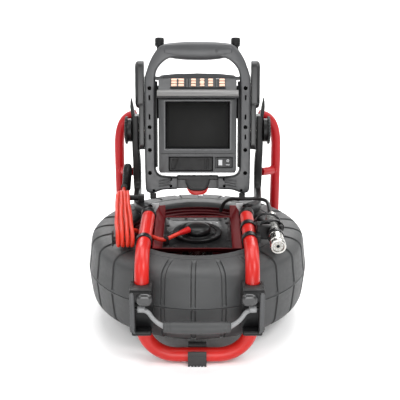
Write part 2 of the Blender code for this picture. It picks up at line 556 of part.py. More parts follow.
# latch block and its red release button
from_bm(prism([(-0.0250, -0.1000), (-0.0235, -0.1075), (-0.0140, -0.1225), (0.0140, -0.1225), (0.0235, -0.1075), (0.0250, -0.1000),
               (0.0420, -0.1000), (0.0420, -0.0915), (-0.0420, -0.0915), (-0.0420, -0.1000)], -0.0200, 0.0027, "y"),
        "latch_block", BLACK, DOCK_AXIS)
from_bm(prism([(-0.0130, -0.1228), (-0.0150, -0.1290), (-0.0120, -0.1315), (0.0120, -0.1315), (0.0150, -0.1290), (0.0130, -0.1228)], -0.0170,
              0.0020, "y"), "latch_release", RED_PAINT, DOCK_AXIS)

# ---------------------------------------------------------------- monitor (lifts out of the dock towards the user)
MW = 0.0790
case = [(-MW, -0.0800), (-0.0740, -0.0860), (0.0740, -0.0860), (MW, -0.0800), (MW, 0.1060), (0.0740, 0.1110), (0.0450, 0.1140), (0.0, 0.1150),
        (-0.0450, 0.1140), (-0.0740, 0.1110), (-MW, 0.1060)]
rear_case = from_bm(prism(case, -0.0125, 0.0118, "y"), "monitor_rear_case", CASE_GREY, DOCK_AXIS)
cut(rear_case, from_bm(block(-0.0740, 0.0740, -0.0200, 0.0060, -0.0450, 0.0600), "rear_case_hollow", CASE_GREY, DOCK_AXIS))
cut(rear_case, from_bm(block(-0.0575, 0.0305, -0.0200, 0.0080, -0.0805, -0.0525), "battery_bay", CASE_GREY, DOCK_AXIS))
front = from_bm(prism([(-0.0755, -0.0845), (0.0755, -0.0845), (MW - 0.001, -0.0790), (MW - 0.001, 0.0640), (-MW + 0.001, 0.0640), (-MW + 0.001, -0.0790)],
                      -0.0330, -0.0128, "y"), "monitor_bezel", CASE_GREY, DOCK_AXIS)
cut(front, from_bm(block(-0.0640, 0.0645, -0.05, 0.0, -0.0355, 0.0585), "bezel_window", CASE_GREY, DOCK_AXIS))
cut(front, from_bm(block(-0.0580, 0.0310, -0.05, 0.0, -0.0810, -0.0520, 0.0), "bezel_battery_window", CASE_GREY, DOCK_AXIS))
cut(front, from_bm(block(0.0355, 0.0705, -0.05, -0.0290, -0.0745, -0.0525, 0.0), "bezel_port_recess", CASE_GREY, DOCK_AXIS))
from_bm(block(-0.0636, 0.0641, -0.0240, -0.0215, -0.0351, 0.0581), "screen_glass", GLASS, DOCK_AXIS)
from_bm(block(-0.0636, 0.0641, -0.0208, -0.0150, -0.0351, 0.0581), "display_panel", BLACK, DOCK_AXIS)
from_bm(block(-0.0700, 0.0700, -0.0060, -0.0040, -0.0420, 0.0560), "circuit_board", PCB, DOCK_AXIS)
# keypad housing: wedge above the visor, its face leaning back
kp = [(-0.0128, 0.1045), (-0.0128, 0.0700), (-0.0480, 0.0700), (-0.0480, 0.0790), (-0.0400, 0.0840), (-0.0220, 0.1045)]
kh = from_bm(prism(kp, -0.0780, 0.0780, "x"), "keypad_housing", CASE_GREY, DOCK_AXIS)
n_k = Vector((0.0, -0.751, 0.660)).normalized()
pad = from_bm(block(-0.0545, 0.0560, -0.0026, -0.0003, -0.0120, 0.0120), "keypad", KEYS, DOCK_AXIS, (0, -0.0310, 0.09425),
              (-math.atan2(0.0180, 0.0205), 0, 0))
cut(kh, from_bm(prism([(-0.0335, 0.0655), (-0.0335, 0.0720), (-0.0500, 0.0720), (-0.0560, 0.0690), (-0.0560, 0.0670), (-0.0500, 0.0655)],
                      -0.0805, 0.0815, "x"), "screen_visor", CASE_GREY, DOCK_AXIS), "UNION")
bat = from_bm(block(-0.0572, 0.0302, -0.0300, 0.0074, -0.0802, -0.0528, 0.0012), "battery_pack", BLACK, DOCK_AXIS)
from_bm(block(0.0402, 0.0698, -0.0324, -0.0294, -0.0738, -0.0532, 0.0005), "port_cover", RUBBER, DOCK_AXIS)

# ---------------------------------------------------------------- camera head on its clip
HEAD = Vector((0.1440, -0.1520, 0.0930))
TAIL = Vector((0.1390, -0.0160, 0.1085))
hd_dir = (TAIL - HEAD).normalized()
HEAD_LEN = (TAIL - HEAD).length


def along(bm, p, d):
    q = Vector((0, 0, 1)).rotation_difference(d)
    bmesh.ops.transform(bm, matrix=Matrix.Translation(p) @ q.to_matrix().to_4x4(), verts=bm.verts)
    return bm


from_bm(along(lathe([(0.0105, 0.0), (0.0135, 0.0), (0.0145, 0.0015), (0.0145, 0.0440), (0.0130, 0.0470), (0.0130, 0.0500), (0.0040, 0.0500), (0.0040, 0.0100),
                     (0.0105, 0.0100)], 20), HEAD, hd_dir), "camera_head", STEEL)
from_bm(along(lathe([(0, 0.0015), (0.0101, 0.0015), (0.0101, 0.0096), (0, 0.0096)], 20), HEAD, hd_dir), "camera_window", GLASS)
from_bm(along(lathe([(0, 0.0503), (0.0118, 0.0503), (0.0118, 0.1050), (0.0095, 0.1080), (0.0095, 0.1180), (0.0060, 0.1230), (0, 0.1230)], 20),
              HEAD, hd_dir), "camera_spring", STEEL)
mid = HEAD + hd_dir * 0.0655
clip = from_bm(block(0.1085, 0.1560, mid.y - 0.0125, mid.y + 0.0125, mid.z - 0.0160, mid.z + 0.0120, 0.002), "camera_clip", BLACK)
cut(clip, from_bm(block(0.1190, 0.1700, mid.y - 0.0050, mid.y + 0.0050, mid.z - 0.03, mid.z + 0.03), "clip_gap", BLACK))
cut(clip, from_bm(block(0.1085, 0.1150, -0.1200, -0.0480, 0.0870, 0.1000), "clip_spine", BLACK), "UNION")
for y in (-0.0560, -0.1130):
    cut(clip, from_bm(lathe([(0, -0.0070), (0.0157, -0.0070), (0.0157, 0.0070), (0, 0.0070)], 20, "y"), "clip_band", BLACK, None, (0.0960, y, 0.0896)), "UNION")
cut(clip, from_bm(along(lathe([(0, 0.0), (0.0122, 0.0), (0.0122, 0.2), (0, 0.2)], 20), HEAD - hd_dir * 0.02, hd_dir), "clip_bore", BLACK))
cut(clip, from_bm(block(0.1340, 0.1500, mid.y - 0.02, mid.y + 0.02, mid.z + 0.004, mid.z + 0.03), "clip_mouth", BLACK))
cut(clip, tube_seat(1, 0, 5, "clip_tube_seat"))

# ---------------------------------------------------------------- push cable from the drum's mouth to the camera


def smooth_route(route, step):
    """A Catmull-Rom curve through the route's points, read at even steps."""
    P = [Vector(p) for p in route]
    P = [P[0] * 2 - P[1]] + P + [P[-1] * 2 - P[-2]]
    fine = []
    for i in range(1, len(P) - 2):
        for k in range(24):
            t = k / 24
            a, b, c, d = P[i - 1], P[i], P[i + 1], P[i + 2]
            fine.append(0.5 * ((2 * b) + (c - a) * t + (2 * a - 5 * b + 4 * c - d) * t * t + (3 * b - a - 3 * c + d) * t ** 3))
    fine.append(P[-2])
    L = [0.0]
    for a, b in zip(fine[:-1], fine[1:]):
        L.append(L[-1] + (b - a).length)
    n = max(3, round(L[-1] / step))
    out, j = [], 0
    for k in range(n + 1):
        s = L[-1] * k / n
        while j < len(L) - 2 and L[j + 1] < s:
            j += 1
        f = (s - L[j]) / max(L[j + 1] - L[j], 1e-9)
        out.append(fine[j].lerp(fine[j + 1], min(max(f, 0), 1)))
    return out


def cord(name, route, r, mat, res=2, step=None):
    pts = smooth_route(route, step or r * 5)
    cu = bpy.data.curves.new(name, "CURVE")
    cu.dimensions = "3D"
    cu.bevel_depth = r
    cu.bevel_resolution = res
    cu.use_fill_caps = True
    sp = cu.splines.new("POLY")
    sp.points.add(len(pts) - 1)
    for p, q in zip(sp.points, pts):
        p.co = (q.x, q.y, q.z, 1.0)
    cu.materials.append(mat)
    o = bpy.data.objects.new(name, cu)
    COL.objects.link(o)
    o.parent = ROOT
    return o


tail_end = HEAD + hd_dir * 0.1234
PUSH_ROUTE = [tuple(tail_end), tuple(tail_end + hd_dir * 0.012), (0.1350, 0.0220, 0.1135), (0.1200, 0.0440, 0.1110), (0.1000, 0.0520, 0.1080),
              (0.0800, 0.0650, 0.1030), (0.0660, 0.0840, 0.0950), (0.0545, 0.1000, 0.0810), (0.0470, 0.1060, 0.0600)]
cord("push_cable", PUSH_ROUTE, PUSH_R, CABLE_DK, 2, 0.012)

# ---------------------------------------------------------------- system cable: lead, wrapped hank, tail and plug
LEAD_ROUTE = [(-0.0172, -0.0198, 0.0715), (-0.0262, -0.0290, 0.0712), (-0.0420, -0.0400, 0.0690), (-0.0560, -0.0500, 0.0655),
              (-0.0680, -0.0560, 0.0655), (-0.0790, -0.0540, 0.0692), (-0.0870, -0.0500, 0.0708), (-0.0957, -0.0480, 0.0710),
              (-0.1050, -0.0480, 0.0725), (-0.1110, -0.0485, 0.0785), (-0.1148, -0.0490, 0.0855)]


def hank(r, half):
    """Stadium outline round the two hooks, as wide as four turns, skewed outwards at the back."""
    f0 = Vector((-0.1180, 0.0940))
    b0 = Vector((0.0580, 0.1080))
    d = (b0 - f0).normalized()
    nrm = Vector((-d.y, d.x))
    out = []
    for k in range(9):
        a = math.pi * k / 8
        out.append(f0 + nrm * r * math.cos(a) - d * r * math.sin(a))
    for k in range(9):
        a = math.pi * k / 8
        out.append(b0 - nrm * r * math.cos(a) + d * r * math.sin(a))
    bm = prism([(p.x, p.y) for p in out], -half, half, "x")
    for v in bm.verts:
        v.co.x += -0.1302 - 0.0150 * (v.co.y - f0.x) / (b0.x - f0.x)
    return bm


hank_body = from_bm(hank(0.0165, 0.0170), "cable_hank", CABLE)
cut(hank_body, from_bm(hank(0.0084, 0.0300), "cable_hank_middle", CABLE))
cord("system_cable_lead", LEAD_ROUTE, CABLE_R, CABLE, 2, 0.011)
TAIL_ROUTE = [(-0.1470, 0.0762, 0.1105), (-0.1485, 0.0860, 0.1110), (-0.1500, 0.0970, 0.1100), (-0.1505, 0.1080, 0.1090)]
cord("system_cable_tail", TAIL_ROUTE, CABLE_R, CABLE, 2, 0.010)
boot_p = Vector((-0.1505, 0.1088, 0.1090))
bd = Vector((-0.02, 1.00, -0.06)).normalized()
from_bm(along(lathe([(0, 0.0), (0.0058, 0.0), (0.0068, 0.0080), (0.0068, 0.0120), (0, 0.0120)], 14), boot_p, bd), "plug_boot", RUBBER)
pb = boot_p + bd * 0.0124
from_bm(along(lathe([(0, -0.0120), (0.0080, -0.0120), (0.0092, -0.0090), (0.0092, 0.0340), (0.0075, 0.0420), (0.0040, 0.0450), (0, 0.0455)], 18), pb + Vector((0.0040, 0.0108, 0.0010)),
              Vector((0.09, 0.05, 1.0)).normalized()), "cable_plug", BLACK)
# front peg clamped on the left tube, rear peg on the left leg; each ends in a flange that keeps the turns on
hk = from_bm(lathe([(0, -0.0065), (0.0154, -0.0065), (0.0154, 0.0065), (0, 0.0065)], 20, "y"), "lower_wrap_hook", BLACK, None, (-0.0967, -0.1180, 0.0892))
cut(hk, from_bm(block(-0.1500, -0.1000, -0.1240, -0.1120, 0.0880, 0.1000, 0.0012), "hook_peg", BLACK), "UNION")
cut(hk, from_bm(block(-0.1502, -0.1478, -0.1240, -0.1120, 0.0780, 0.1100, 0.0008), "hook_flange", BLACK), "UNION")
cut(hk, tube_seat(-1, 0, 8, "hook_tube_seat"))
left_leg = bpy.data.objects["left_leg"]
cut(left_leg, from_bm(block(-0.1180, -0.1060, 0.0520, 0.0640, 0.0900, 0.1145, 0.0010), "rear_peg_post", BLACK), "UNION")
cut(left_leg, from_bm(block(-0.1640, -0.1100, 0.0520, 0.0640, 0.1025, 0.1135, 0.0010), "rear_peg", BLACK), "UNION")
# small clip that holds the lead on the hub panel
cl = from_bm(block(-0.0640, -0.0540, -0.0570, -0.0400, TUB_Z + 0.0013, TUB_Z + 0.0170, 0.001), "lead_clip", BLACK)
lead_cut = smooth_route(LEAD_ROUTE, 0.006)
cut(cl, from_bm(pipe(lead_cut[3:13], CABLE_R + 0.0010, 12), "lead_clip_bore", BLACK))
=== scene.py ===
import json
import math
import bpy
import bmesh
from mathutils import Vector, Matrix

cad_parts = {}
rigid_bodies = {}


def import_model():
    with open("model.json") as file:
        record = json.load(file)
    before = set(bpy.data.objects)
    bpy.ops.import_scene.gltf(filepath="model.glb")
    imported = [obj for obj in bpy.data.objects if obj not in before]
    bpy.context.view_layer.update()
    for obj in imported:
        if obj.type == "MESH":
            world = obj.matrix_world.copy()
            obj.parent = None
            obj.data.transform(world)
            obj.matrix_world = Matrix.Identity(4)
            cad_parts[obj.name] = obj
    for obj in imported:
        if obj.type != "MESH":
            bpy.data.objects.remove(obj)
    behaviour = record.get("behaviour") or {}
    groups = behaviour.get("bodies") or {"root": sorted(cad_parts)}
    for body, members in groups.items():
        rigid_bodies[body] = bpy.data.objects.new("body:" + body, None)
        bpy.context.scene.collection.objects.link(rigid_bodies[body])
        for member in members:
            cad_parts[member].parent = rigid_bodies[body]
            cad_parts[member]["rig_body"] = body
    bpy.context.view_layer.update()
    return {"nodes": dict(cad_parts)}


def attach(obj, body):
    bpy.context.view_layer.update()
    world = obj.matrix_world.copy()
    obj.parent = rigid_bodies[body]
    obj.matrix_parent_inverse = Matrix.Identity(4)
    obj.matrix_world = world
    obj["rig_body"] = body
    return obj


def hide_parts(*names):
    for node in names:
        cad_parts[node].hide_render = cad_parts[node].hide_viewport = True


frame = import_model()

YS, ZS = 0.0145, 0.1080                      # working frame (drum seam) to row frame
TILT = math.radians(13.0)
SHIFT = Matrix.Translation((0.0, YS, ZS))
DOCK = SHIFT @ Matrix.Translation((0.0, 0.1500, 0.2210)) @ Matrix.Rotation(-TILT, 4, "X")
PIN = SHIFT @ Matrix.Translation((0.0, -0.2300, 0.0110))
COL = bpy.context.scene.collection

# ------------------------------------------------------------------ camera (the photo's angle)
cam_data = bpy.data.cameras.new("camera")
cam_data.sensor_width = 36.0
cam_data.lens = 79.68
cam_data.clip_start = 0.05
cam = bpy.data.objects.new("camera", cam_data)
COL.objects.link(cam)
cam.location = (0.005, -1.5921 + YS, 0.7266 + ZS)
cam.rotation_euler = (math.radians(90.0 - 20.7), 0.0, 0.0)
bpy.context.scene.camera = cam


# ------------------------------------------------------------------ materials
def nodes_of(name):
    m = bpy.data.materials.new(name)
    m.use_nodes = True
    return m, m.node_tree, m.node_tree.nodes["Principled BSDF"]


def noise(t, coord, scale, detail=3.0, rough=0.55, stretch=None):
    n = t.nodes.new("ShaderNodeTexNoise")
    n.inputs["Scale"].default_value = scale
    n.inputs["Detail"].default_value = detail
    n.inputs["Roughness"].default_value = rough
    if stretch:
        mp = t.nodes.new("ShaderNodeMapping")
        mp.inputs["Scale"].default_value = stretch
        t.links.new(coord, mp.inputs["Vector"])
        t.links.new(mp.outputs["Vector"], n.inputs["Vector"])
    else:
        t.links.new(coord, n.inputs["Vector"])
    return n.outputs["Fac"]


def remap(t, fac, lo, hi, a=0.3, b=0.7):
    r = t.nodes.new("ShaderNodeMapRange")
    r.inputs["From Min"].default_value = a
    r.inputs["From Max"].default_value = b
    r.inputs["To Min"].default_value = lo
    r.inputs["To Max"].default_value = hi
    t.links.new(fac, r.inputs["Value"])
    return r.outputs["Result"]


def mix_rgb(t, fac, a, b):
    m = t.nodes.new("ShaderNodeMix")
    m.data_type = "RGBA"
    t.links.new(fac, m.inputs[0])
    for sock, v in ((m.inputs[6], a), (m.inputs[7], b)):
        if isinstance(v, tuple):
            sock.default_value = (v[0], v[1], v[2], 1.0)
        else:
            t.links.new(v, sock)
    return m.outputs[2]


def bump(t, fac, strength, dist, prev=None):
    b = t.nodes.new("ShaderNodeBump")
    b.inputs["Strength"].default_value = strength
    b.inputs["Distance"].default_value = dist
    t.links.new(fac, b.inputs["Height"])
    if prev is not None:
        t.links.new(prev, b.inputs["Normal"])
    return b.outputs["Normal"]


def scaled(c, k):
    return tuple(min(1.0, x * k) for x in c)


def moulded(name, rgb, rough=0.45, grain=900.0, depth=0.00012, mottle=0.10, spec=0.5, dust=0.10, coat=0.0, strength=0.35, wave=0.05, vary=1.0):
    """Injection-moulded plastic: fine spark texture, faint flow mottling and a trace of dust on up-facing skin."""
    m, t, b = nodes_of(name)
    co = t.nodes.new("ShaderNodeTexCoord").outputs["Object"]
    fine = noise(t, co, grain, 2.0)
    mid = noise(t, co, 130.0, 4.0)
    big = noise(t, co, 14.0, 3.0)
    c1 = mix_rgb(t, remap(t, big, 0.0, 1.0), scaled(rgb, 1.0 - mottle), scaled(rgb, 1.0 + mottle))
    c2 = mix_rgb(t, remap(t, mid, 0.0, 0.35, 0.45, 0.75), c1, scaled(rgb, 1.0 + 1.6 * mottle))
    geo = t.nodes.new("ShaderNodeNewGeometry").outputs["Normal"]
    sep = t.nodes.new("ShaderNodeSeparateXYZ")
    t.links.new(geo, sep.inputs[0])
    up = remap(t, sep.outputs["Z"], 0.0, dust, 0.55, 1.0)
    patch = t.nodes.new("ShaderNodeMath")
    patch.operation = "MULTIPLY"
    t.links.new(up, patch.inputs[0])
    t.links.new(remap(t, noise(t, co, 45.0, 5.0, 0.7), 0.2, 1.0, 0.35, 0.7), patch.inputs[1])
    c3 = mix_rgb(t, patch.outputs[0], c2, (0.32, 0.31, 0.30))
    t.links.new(c3, b.inputs["Base Color"])
    t.links.new(remap(t, mid, rough - 0.05 * vary, rough + 0.09 * vary), b.inputs["Roughness"])
    b.inputs["Specular IOR Level"].default_value = spec
    b.inputs["Coat Weight"].default_value = coat
    b.inputs["Coat Roughness"].default_value = 0.25
    t.links.new(bump(t, mid, wave, 0.0004, bump(t, fine, strength, depth)), b.inputs["Normal"])
    return m


def painted(name, rgb, rough=0.28, coat=0.6, dark=0.55, peel=0.18):
    """Powder-coated steel: orange peel, small scuffs and a few darker specks."""
    m, t, b = nodes_of(name)
    co = t.nodes.new("ShaderNodeTexCoord").outputs["Object"]
    pe = noise(t, co, 420.0, 2.0)
    big = noise(t, co, 9.0, 3.0)
    c1 = mix_rgb(t, remap(t, big, 0.0, 1.0), scaled(rgb, 0.90), scaled(rgb, 1.08))
    v = t.nodes.new("ShaderNodeTexVoronoi")
    v.inputs["Scale"].default_value = 260.0
    t.links.new(co, v.inputs["Vector"])
    speck = remap(t, v.outputs["Distance"], 0.5, 0.0, 0.05, 0.16)
    c2 = mix_rgb(t, speck, c1, scaled(rgb, dark))
    scuff = remap(t, noise(t, co, 60.0, 6.0, 0.75, (1.0, 1.0, 0.25)), 0.0, 0.07, 0.62, 0.80)
    c3 = mix_rgb(t, scuff, c2, scaled(rgb, 0.80))
    t.links.new(c3, b.inputs["Base Color"])
    t.links.new(remap(t, noise(t, co, 75.0, 4.0), rough - 0.005, rough + 0.012), b.inputs["Roughness"])
    b.inputs["Coat Weight"].default_value = coat
    b.inputs["Coat Roughness"].default_value = 0.24
    b.inputs["Specular IOR Level"].default_value = 0.32
    t.links.new(bump(t, pe, peel, 0.00012), b.inputs["Normal"])
    return m


def metal(name, rgb, rough=0.25, along=(1.0, 1.0, 1.0), scale=500.0, grime=0.35):
    """Turned or brushed metal with tool marks and light grime."""
    m, t, b = nodes_of(name)
    co = t.nodes.new("ShaderNodeTexCoord").outputs["Object"]
    marks = noise(t, co, scale, 3.0, 0.6, along)
    g = remap(t, noise(t, co, 90.0, 5.0, 0.7), 0.0, grime, 0.50, 0.72)
    c = mix_rgb(t, g, mix_rgb(t, remap(t, marks, 0.0, 1.0), scaled(rgb, 0.86), scaled(rgb, 1.10)), scaled(rgb, 0.30))
    t.links.new(c, b.inputs["Base Color"])
    b.inputs["Metallic"].default_value = 1.0
    t.links.new(remap(t, marks, rough - 0.08, rough + 0.14), b.inputs["Roughness"])
    t.links.new(bump(t, marks, 0.08, 0.00006), b.inputs["Normal"])
    return m


def jacket(name, rgb, rough=0.42, ring=0.0):
    """Extruded cable jacket: faint lengthwise sheen, scuffs and dirt."""
    m, t, b = nodes_of(name)
    co = t.nodes.new("ShaderNodeTexCoord").outputs["Object"]
    big = noise(t, co, 35.0, 4.0, 0.6)
    c1 = mix_rgb(t, remap(t, big, 0.0, 1.0), scaled(rgb, 0.84), scaled(rgb, 1.10))
    dirt = remap(t, noise(t, co, 150.0, 5.0, 0.7), 0.0, 0.40, 0.58, 0.76)
    t.links.new(mix_rgb(t, dirt, c1, scaled(rgb, 0.45)), b.inputs["Base Color"])
    t.links.new(remap(t, noise(t, co, 220.0, 3.0), rough - 0.08, rough + 0.12), b.inputs["Roughness"])
    b.inputs["Subsurface Weight"].default_value = 0.0
    b.inputs["Specular IOR Level"].default_value = 0.34
    t.links.new(bump(t, noise(t, co, 700.0, 2.0), 0.25, 0.00010), b.inputs["Normal"])
    return m


def glazing(name, rgb, rough=0.10):
    """Dark screen glass with faint smears."""
    m, t, b = nodes_of(name)
    co = t.nodes.new("ShaderNodeTexCoord").outputs["Object"]
    sm = noise(t, co, 30.0, 6.0, 0.7, (1.0, 1.0, 0.4))
    t.links.new(mix_rgb(t, remap(t, sm, 0.0, 1.0), scaled(rgb, 0.8), scaled(rgb, 1.3)), b.inputs["Base Color"])
    t.links.new(remap(t, sm, rough - 0.04, rough + 0.12), b.inputs["Roughness"])
    b.inputs["Specular IOR Level"].default_value = 0.12
    t.links.new(bump(t, noise(t, co, 900.0, 1.0), 0.04, 0.00003), b.inputs["Normal"])
    return m


M_RED = painted("visual_red_paint", (0.455, 0.0090, 0.0055), 0.36, 0.14)
# darker copy of the frame's red for the rear tubes, braces and welds: the extra darkness is painted shade
M_RED_REAR_SHADED = painted("visual_red_paint_rear_shaded", (0.36, 0.002, 0.005), 0.42, 0.05)
# dark red for the hub tray, darkened further for the shadow inside the drum's mouth: partly its own tone, partly
# painted shade
M_DKRED_SHADED = painted("visual_dark_red_shaded", (0.125, 0.002, 0.004), 0.46, 0.05)
M_DRUM = moulded("visual_drum_plastic", (0.041, 0.0422, 0.043), 0.50, 620.0, 0.00018, 0.10, 0.35, 0.03, 0.0, 0.40)
M_DOCK = moulded("visual_dock_plastic", (0.044, 0.0452, 0.0473), 0.33, 1000.0, 0.00010, 0.10, 0.46, 0.03)
M_ARM = moulded("visual_arm_plastic", (0.0145, 0.0148, 0.0154), 0.28, 1100.0, 0.00001, 0.05, 0.80, 0.0, wave=0.002, vary=0.1)
M_ARM2 = moulded("visual_side_arm_plastic", (0.0145, 0.0148, 0.0154), 0.30, 1100.0, 0.00001, 0.05, 0.48, 0.0, wave=0.002, vary=0.1)
# pale grey standing in for the light on the visor's top face: a painted highlight
M_VISOR_HIGHLIGHT = moulded("visual_visor_painted_highlight", (0.150, 0.148, 0.146), 0.32, 1100.0, 0.00004, 0.04, 0.45, 0.0, wave=0.01)
M_HANDLE = moulded("visual_handle_arm", (0.185, 0.188, 0.191), 0.32, 1100.0, 0.00008, 0.10, 0.55, 0.02)
M_BLACK = moulded("visual_black_plastic", (0.0040, 0.0041, 0.0044), 0.34, 1000.0, 0.00010, 0.20, 0.26, 0.008)
M_CASE = moulded("visual_case_plastic", (0.030, 0.031, 0.0325), 0.36, 1200.0, 0.00008, 0.10, 0.40, 0.02)
M_CASE2 = moulded("visual_case_plastic_dark", (0.0070, 0.0073, 0.0080), 0.36, 1200.0, 0.00008, 0.12, 0.38, 0.015)
M_RUBBER = moulded("visual_rubber", (0.030, 0.030, 0.030), 0.60, 500.0, 0.00020, 0.22, 0.30, 0.08)
M_GLASS = glazing("visual_screen_glass", (0.0046, 0.0047, 0.0045), 0.40)
M_LENS = glazing("visual_lens", (0.010, 0.012, 0.014), 0.06)
M_STEEL = metal("visual_steel", (0.50, 0.49, 0.465), 0.20, (1.0, 0.2, 1.0), 700.0, 0.16)
M_SPRING = metal("visual_spring_steel", (0.26, 0.26, 0.25), 0.28, (1.0, 1.0, 1.0), 600.0, 0.20)
M_FACE = metal("visual_camera_face", (0.40, 0.39, 0.36), 0.30, (1.0, 1.0, 1.0), 600.0, 0.25)
M_ALU = metal("visual_light_metal", (0.50, 0.51, 0.53), 0.36, (0.3, 1.0, 1.0), 600.0, 0.15)
M_FRAMELINE = moulded("visual_frame_line", (0.080, 0.082, 0.085), 0.35, 900.0, 0.00006, 0.08, 0.5, 0.0)
M_CABLE = jacket("visual_cable", (0.47, 0.020, 0.006), 0.44)
M_LEAD = jacket("visual_cable_lead", (0.42, 0.008, 0.008), 0.40)
M_PUSH = jacket("visual_push_cable", (0.085, 0.004, 0.007), 0.40)
M_PUSH_END = jacket("visual_push_cable_end", (0.012, 0.011, 0.011), 0.36)
# flat pale grey for the metal gusset plates: partly their own tone, partly a painted reflection that keeps them bright
# in their shade
M_GUSSET_SHEEN = moulded("visual_gusset_tone_and_sheen", (0.36, 0.362, 0.366), 0.34, 900.0, 0.00008, 0.10, 0.55, 0.02)
M_HOLE = moulded("visual_hole_shadow", (0.0012, 0.0012, 0.0013), 0.70, 700.0, 0.00008, 0.10, 0.10, 0.0)
M_DARK = moulded("visual_dark_rubber", (0.0075, 0.0075, 0.0078), 0.50, 700.0, 0.00012, 0.14, 0.30, 0.04)
M_KEY = moulded("visual_key", (0.78, 0.48, 0.36), 0.50, 900.0, 0.00010, 0.10, 0.4, 0.0)
M_LABEL = moulded("visual_pale_mark", (0.50, 0.51, 0.52), 0.45, 900.0, 0.00006, 0.06, 0.4, 0.0)
M_PCB = moulded("visual_board", (0.02, 0.12, 0.05), 0.45, 800.0, 0.00010, 0.20, 0.5, 0.02)


# ------------------------------------------------------------------ mesh helpers
def obj(me, name, mat, body, smooth=True, angle=32.0):
    if mat is not None and not me.materials:
        me.materials.append(mat)
    if smooth:
        me.shade_smooth()
        me.set_sharp_from_angle(angle=math.radians(angle))
    o = bpy.data.objects.new(name, me)
    COL.objects.link(o)
    if body:
        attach(o, body)
    return o


def to_mesh(bm, name, M=None, fix=True):
    if fix:
        bmesh.ops.recalc_face_normals(bm, faces=bm.faces[:])
    if M is not None:
        bm.transform(M)
    me = bpy.data.meshes.new(name)
    bm.to_mesh(me)
    bm.free()
    return me


def skin(rings, caps=True, closed=False):
    bm = bmesh.new()
    R = [[bm.verts.new(p) for p in r] for r in rings]
    n = len(R[0])
    pairs = list(zip(R[:-1], R[1:]))
    if closed:
        pairs.append((R[-1], R[0]))
    for a, b in pairs:
        for i in range(n):
            j = (i + 1) % n
            bm.faces.new((a[i], a[j], b[j], b[i]))
    if caps and not closed:
        bm.faces.new(list(reversed(R[0])))
        bm.faces.new(R[-1])
    return bm


def even(route, step, closed=False):
    """Catmull-Rom curve through the points, read at even steps."""
    P = [Vector(p) for p in route]
    P = [P[0] * 2 - P[1]] + P + [P[-1] * 2 - P[-2]]
    fine = []
    for i in range(1, len(P) - 2):
        a, b, c, d = P[i - 1], P[i], P[i + 1], P[i + 2]
        for k in range(24):
            t = k / 24
            fine.append(0.5 * ((2 * b) + (c - a) * t + (2 * a - 5 * b + 4 * c - d) * t * t + (3 * b - a - 3 * c + d) * t ** 3))
    fine.append(P[-2])
    return resample(fine, step)


def resample(fine, step):
    L = [0.0]
    for a, b in zip(fine[:-1], fine[1:]):
        L.append(L[-1] + (b - a).length)
    n = max(3, round(L[-1] / step))
    out, j = [], 0
    for k in range(n + 1):
        s = L[-1] * k / n
        while j < len(L) - 2 and L[j + 1] < s:
            j += 1
        f = (s - L[j]) / max(L[j + 1] - L[j], 1e-9)
        out.append(fine[j].lerp(fine[j + 1], min(max(f, 0.0), 1.0)))
    return out


def frames(pts, up0=Vector((1, 0, 0))):
    P = [Vector(p) for p in pts]
    out = []
    u = None
    for i in range(len(P)):
        t = (P[min(i + 1, len(P) - 1)] - P[max(i - 1, 0)]).normalized()
        u = (up0 if u is None else u)
        u = (u - t * u.dot(t)).normalized()
        out.append((P[i], t, u, t.cross(u)))
    return out


def pipe(pts, r, sides=32, up0=Vector((1, 0, 0))):
    rs = r if isinstance(r, (list, tuple)) else [r] * len(pts)
    rings = []
    for (p, t, u, v), rr in zip(frames(pts, up0), rs):
        rings.append([p + rr * (math.cos(2 * math.pi * k / sides) * u + math.sin(2 * math.pi * k / sides) * v) for k in range(sides)])
    return skin(rings)


def lathe(profile, seg=64, axis="z"):
    bm = bmesh.new()
    rings = []
    for r, z in profile:
        if r < 1e-7:
            rings.append([bm.verts.new((0, 0, z))])
        else:
            rings.append([bm.verts.new((r * math.cos(2 * math.pi * k / seg), r * math.sin(2 * math.pi * k / seg), z)) for k in range(seg)])
    n = len(rings)
    for i in range(n):
        a, b = rings[i], rings[(i + 1) % n]
        if len(a) == 1 and len(b) == 1:
            continue
        for k in range(seg):
            j = (k + 1) % seg
            if len(a) == 1:
                bm.faces.new((a[0], b[j], b[k]))
            elif len(b) == 1:
                bm.faces.new((a[k], a[j], b[0]))
            else:
                bm.faces.new((a[k], a[j], b[j], b[k]))
    if axis == "x":
        bm.transform(Matrix.Rotation(math.radians(90), 4, "Y"))
    elif axis == "y":
        bm.transform(Matrix.Rotation(math.radians(90), 4, "X"))
    return bm


def prism(outline, a, b, axis="y"):
    bm = bmesh.new()
    def at(p, q, h):
        return (p, h, q) if axis == "y" else (h, p, q) if axis == "x" else (p, q, h)
    lo = [bm.verts.new(at(p, q, a)) for p, q in outline]
    hi = [bm.verts.new(at(p, q, b)) for p, q in outline]
    n = len(outline)
    for i in range(n):
        j = (i + 1) % n
        bm.faces.new((lo[i], lo[j], hi[j], hi[i]))
    bm.faces.new(list(reversed(lo)))
    bm.faces.new(hi)
    return bm


def block(x0, x1, y0, y1, z0, z1):
    bm = bmesh.new()
    bmesh.ops.create_cube(bm, size=1.0)
    for v in bm.verts:
        v.co = Vector(((x0 + x1) / 2 + v.co.x * (x1 - x0), (y0 + y1) / 2 + v.co.y * (y1 - y0), (z0 + z1) / 2 + v.co.z * (z1 - z0)))
    return bm


def rounded(x0, x1, z0, z1, r, n=6):
    out = []
    for cx, cz, a0 in ((x1 - r, z0 + r, -90), (x1 - r, z1 - r, 0), (x0 + r, z1 - r, 90), (x0 + r, z0 + r, 180)):
        for k in range(n + 1):
            a = math.radians(a0 + 90 * k / n)
            out.append((cx + r * math.cos(a), cz + r * math.sin(a)))
    return out


def disc_y(x, z, r, y0, y1, sides=24):
    return prism([(x + r * math.cos(2 * math.pi * k / sides), z + r * math.sin(2 * math.pi * k / sides)) for k in range(sides)], y0, y1, "y")


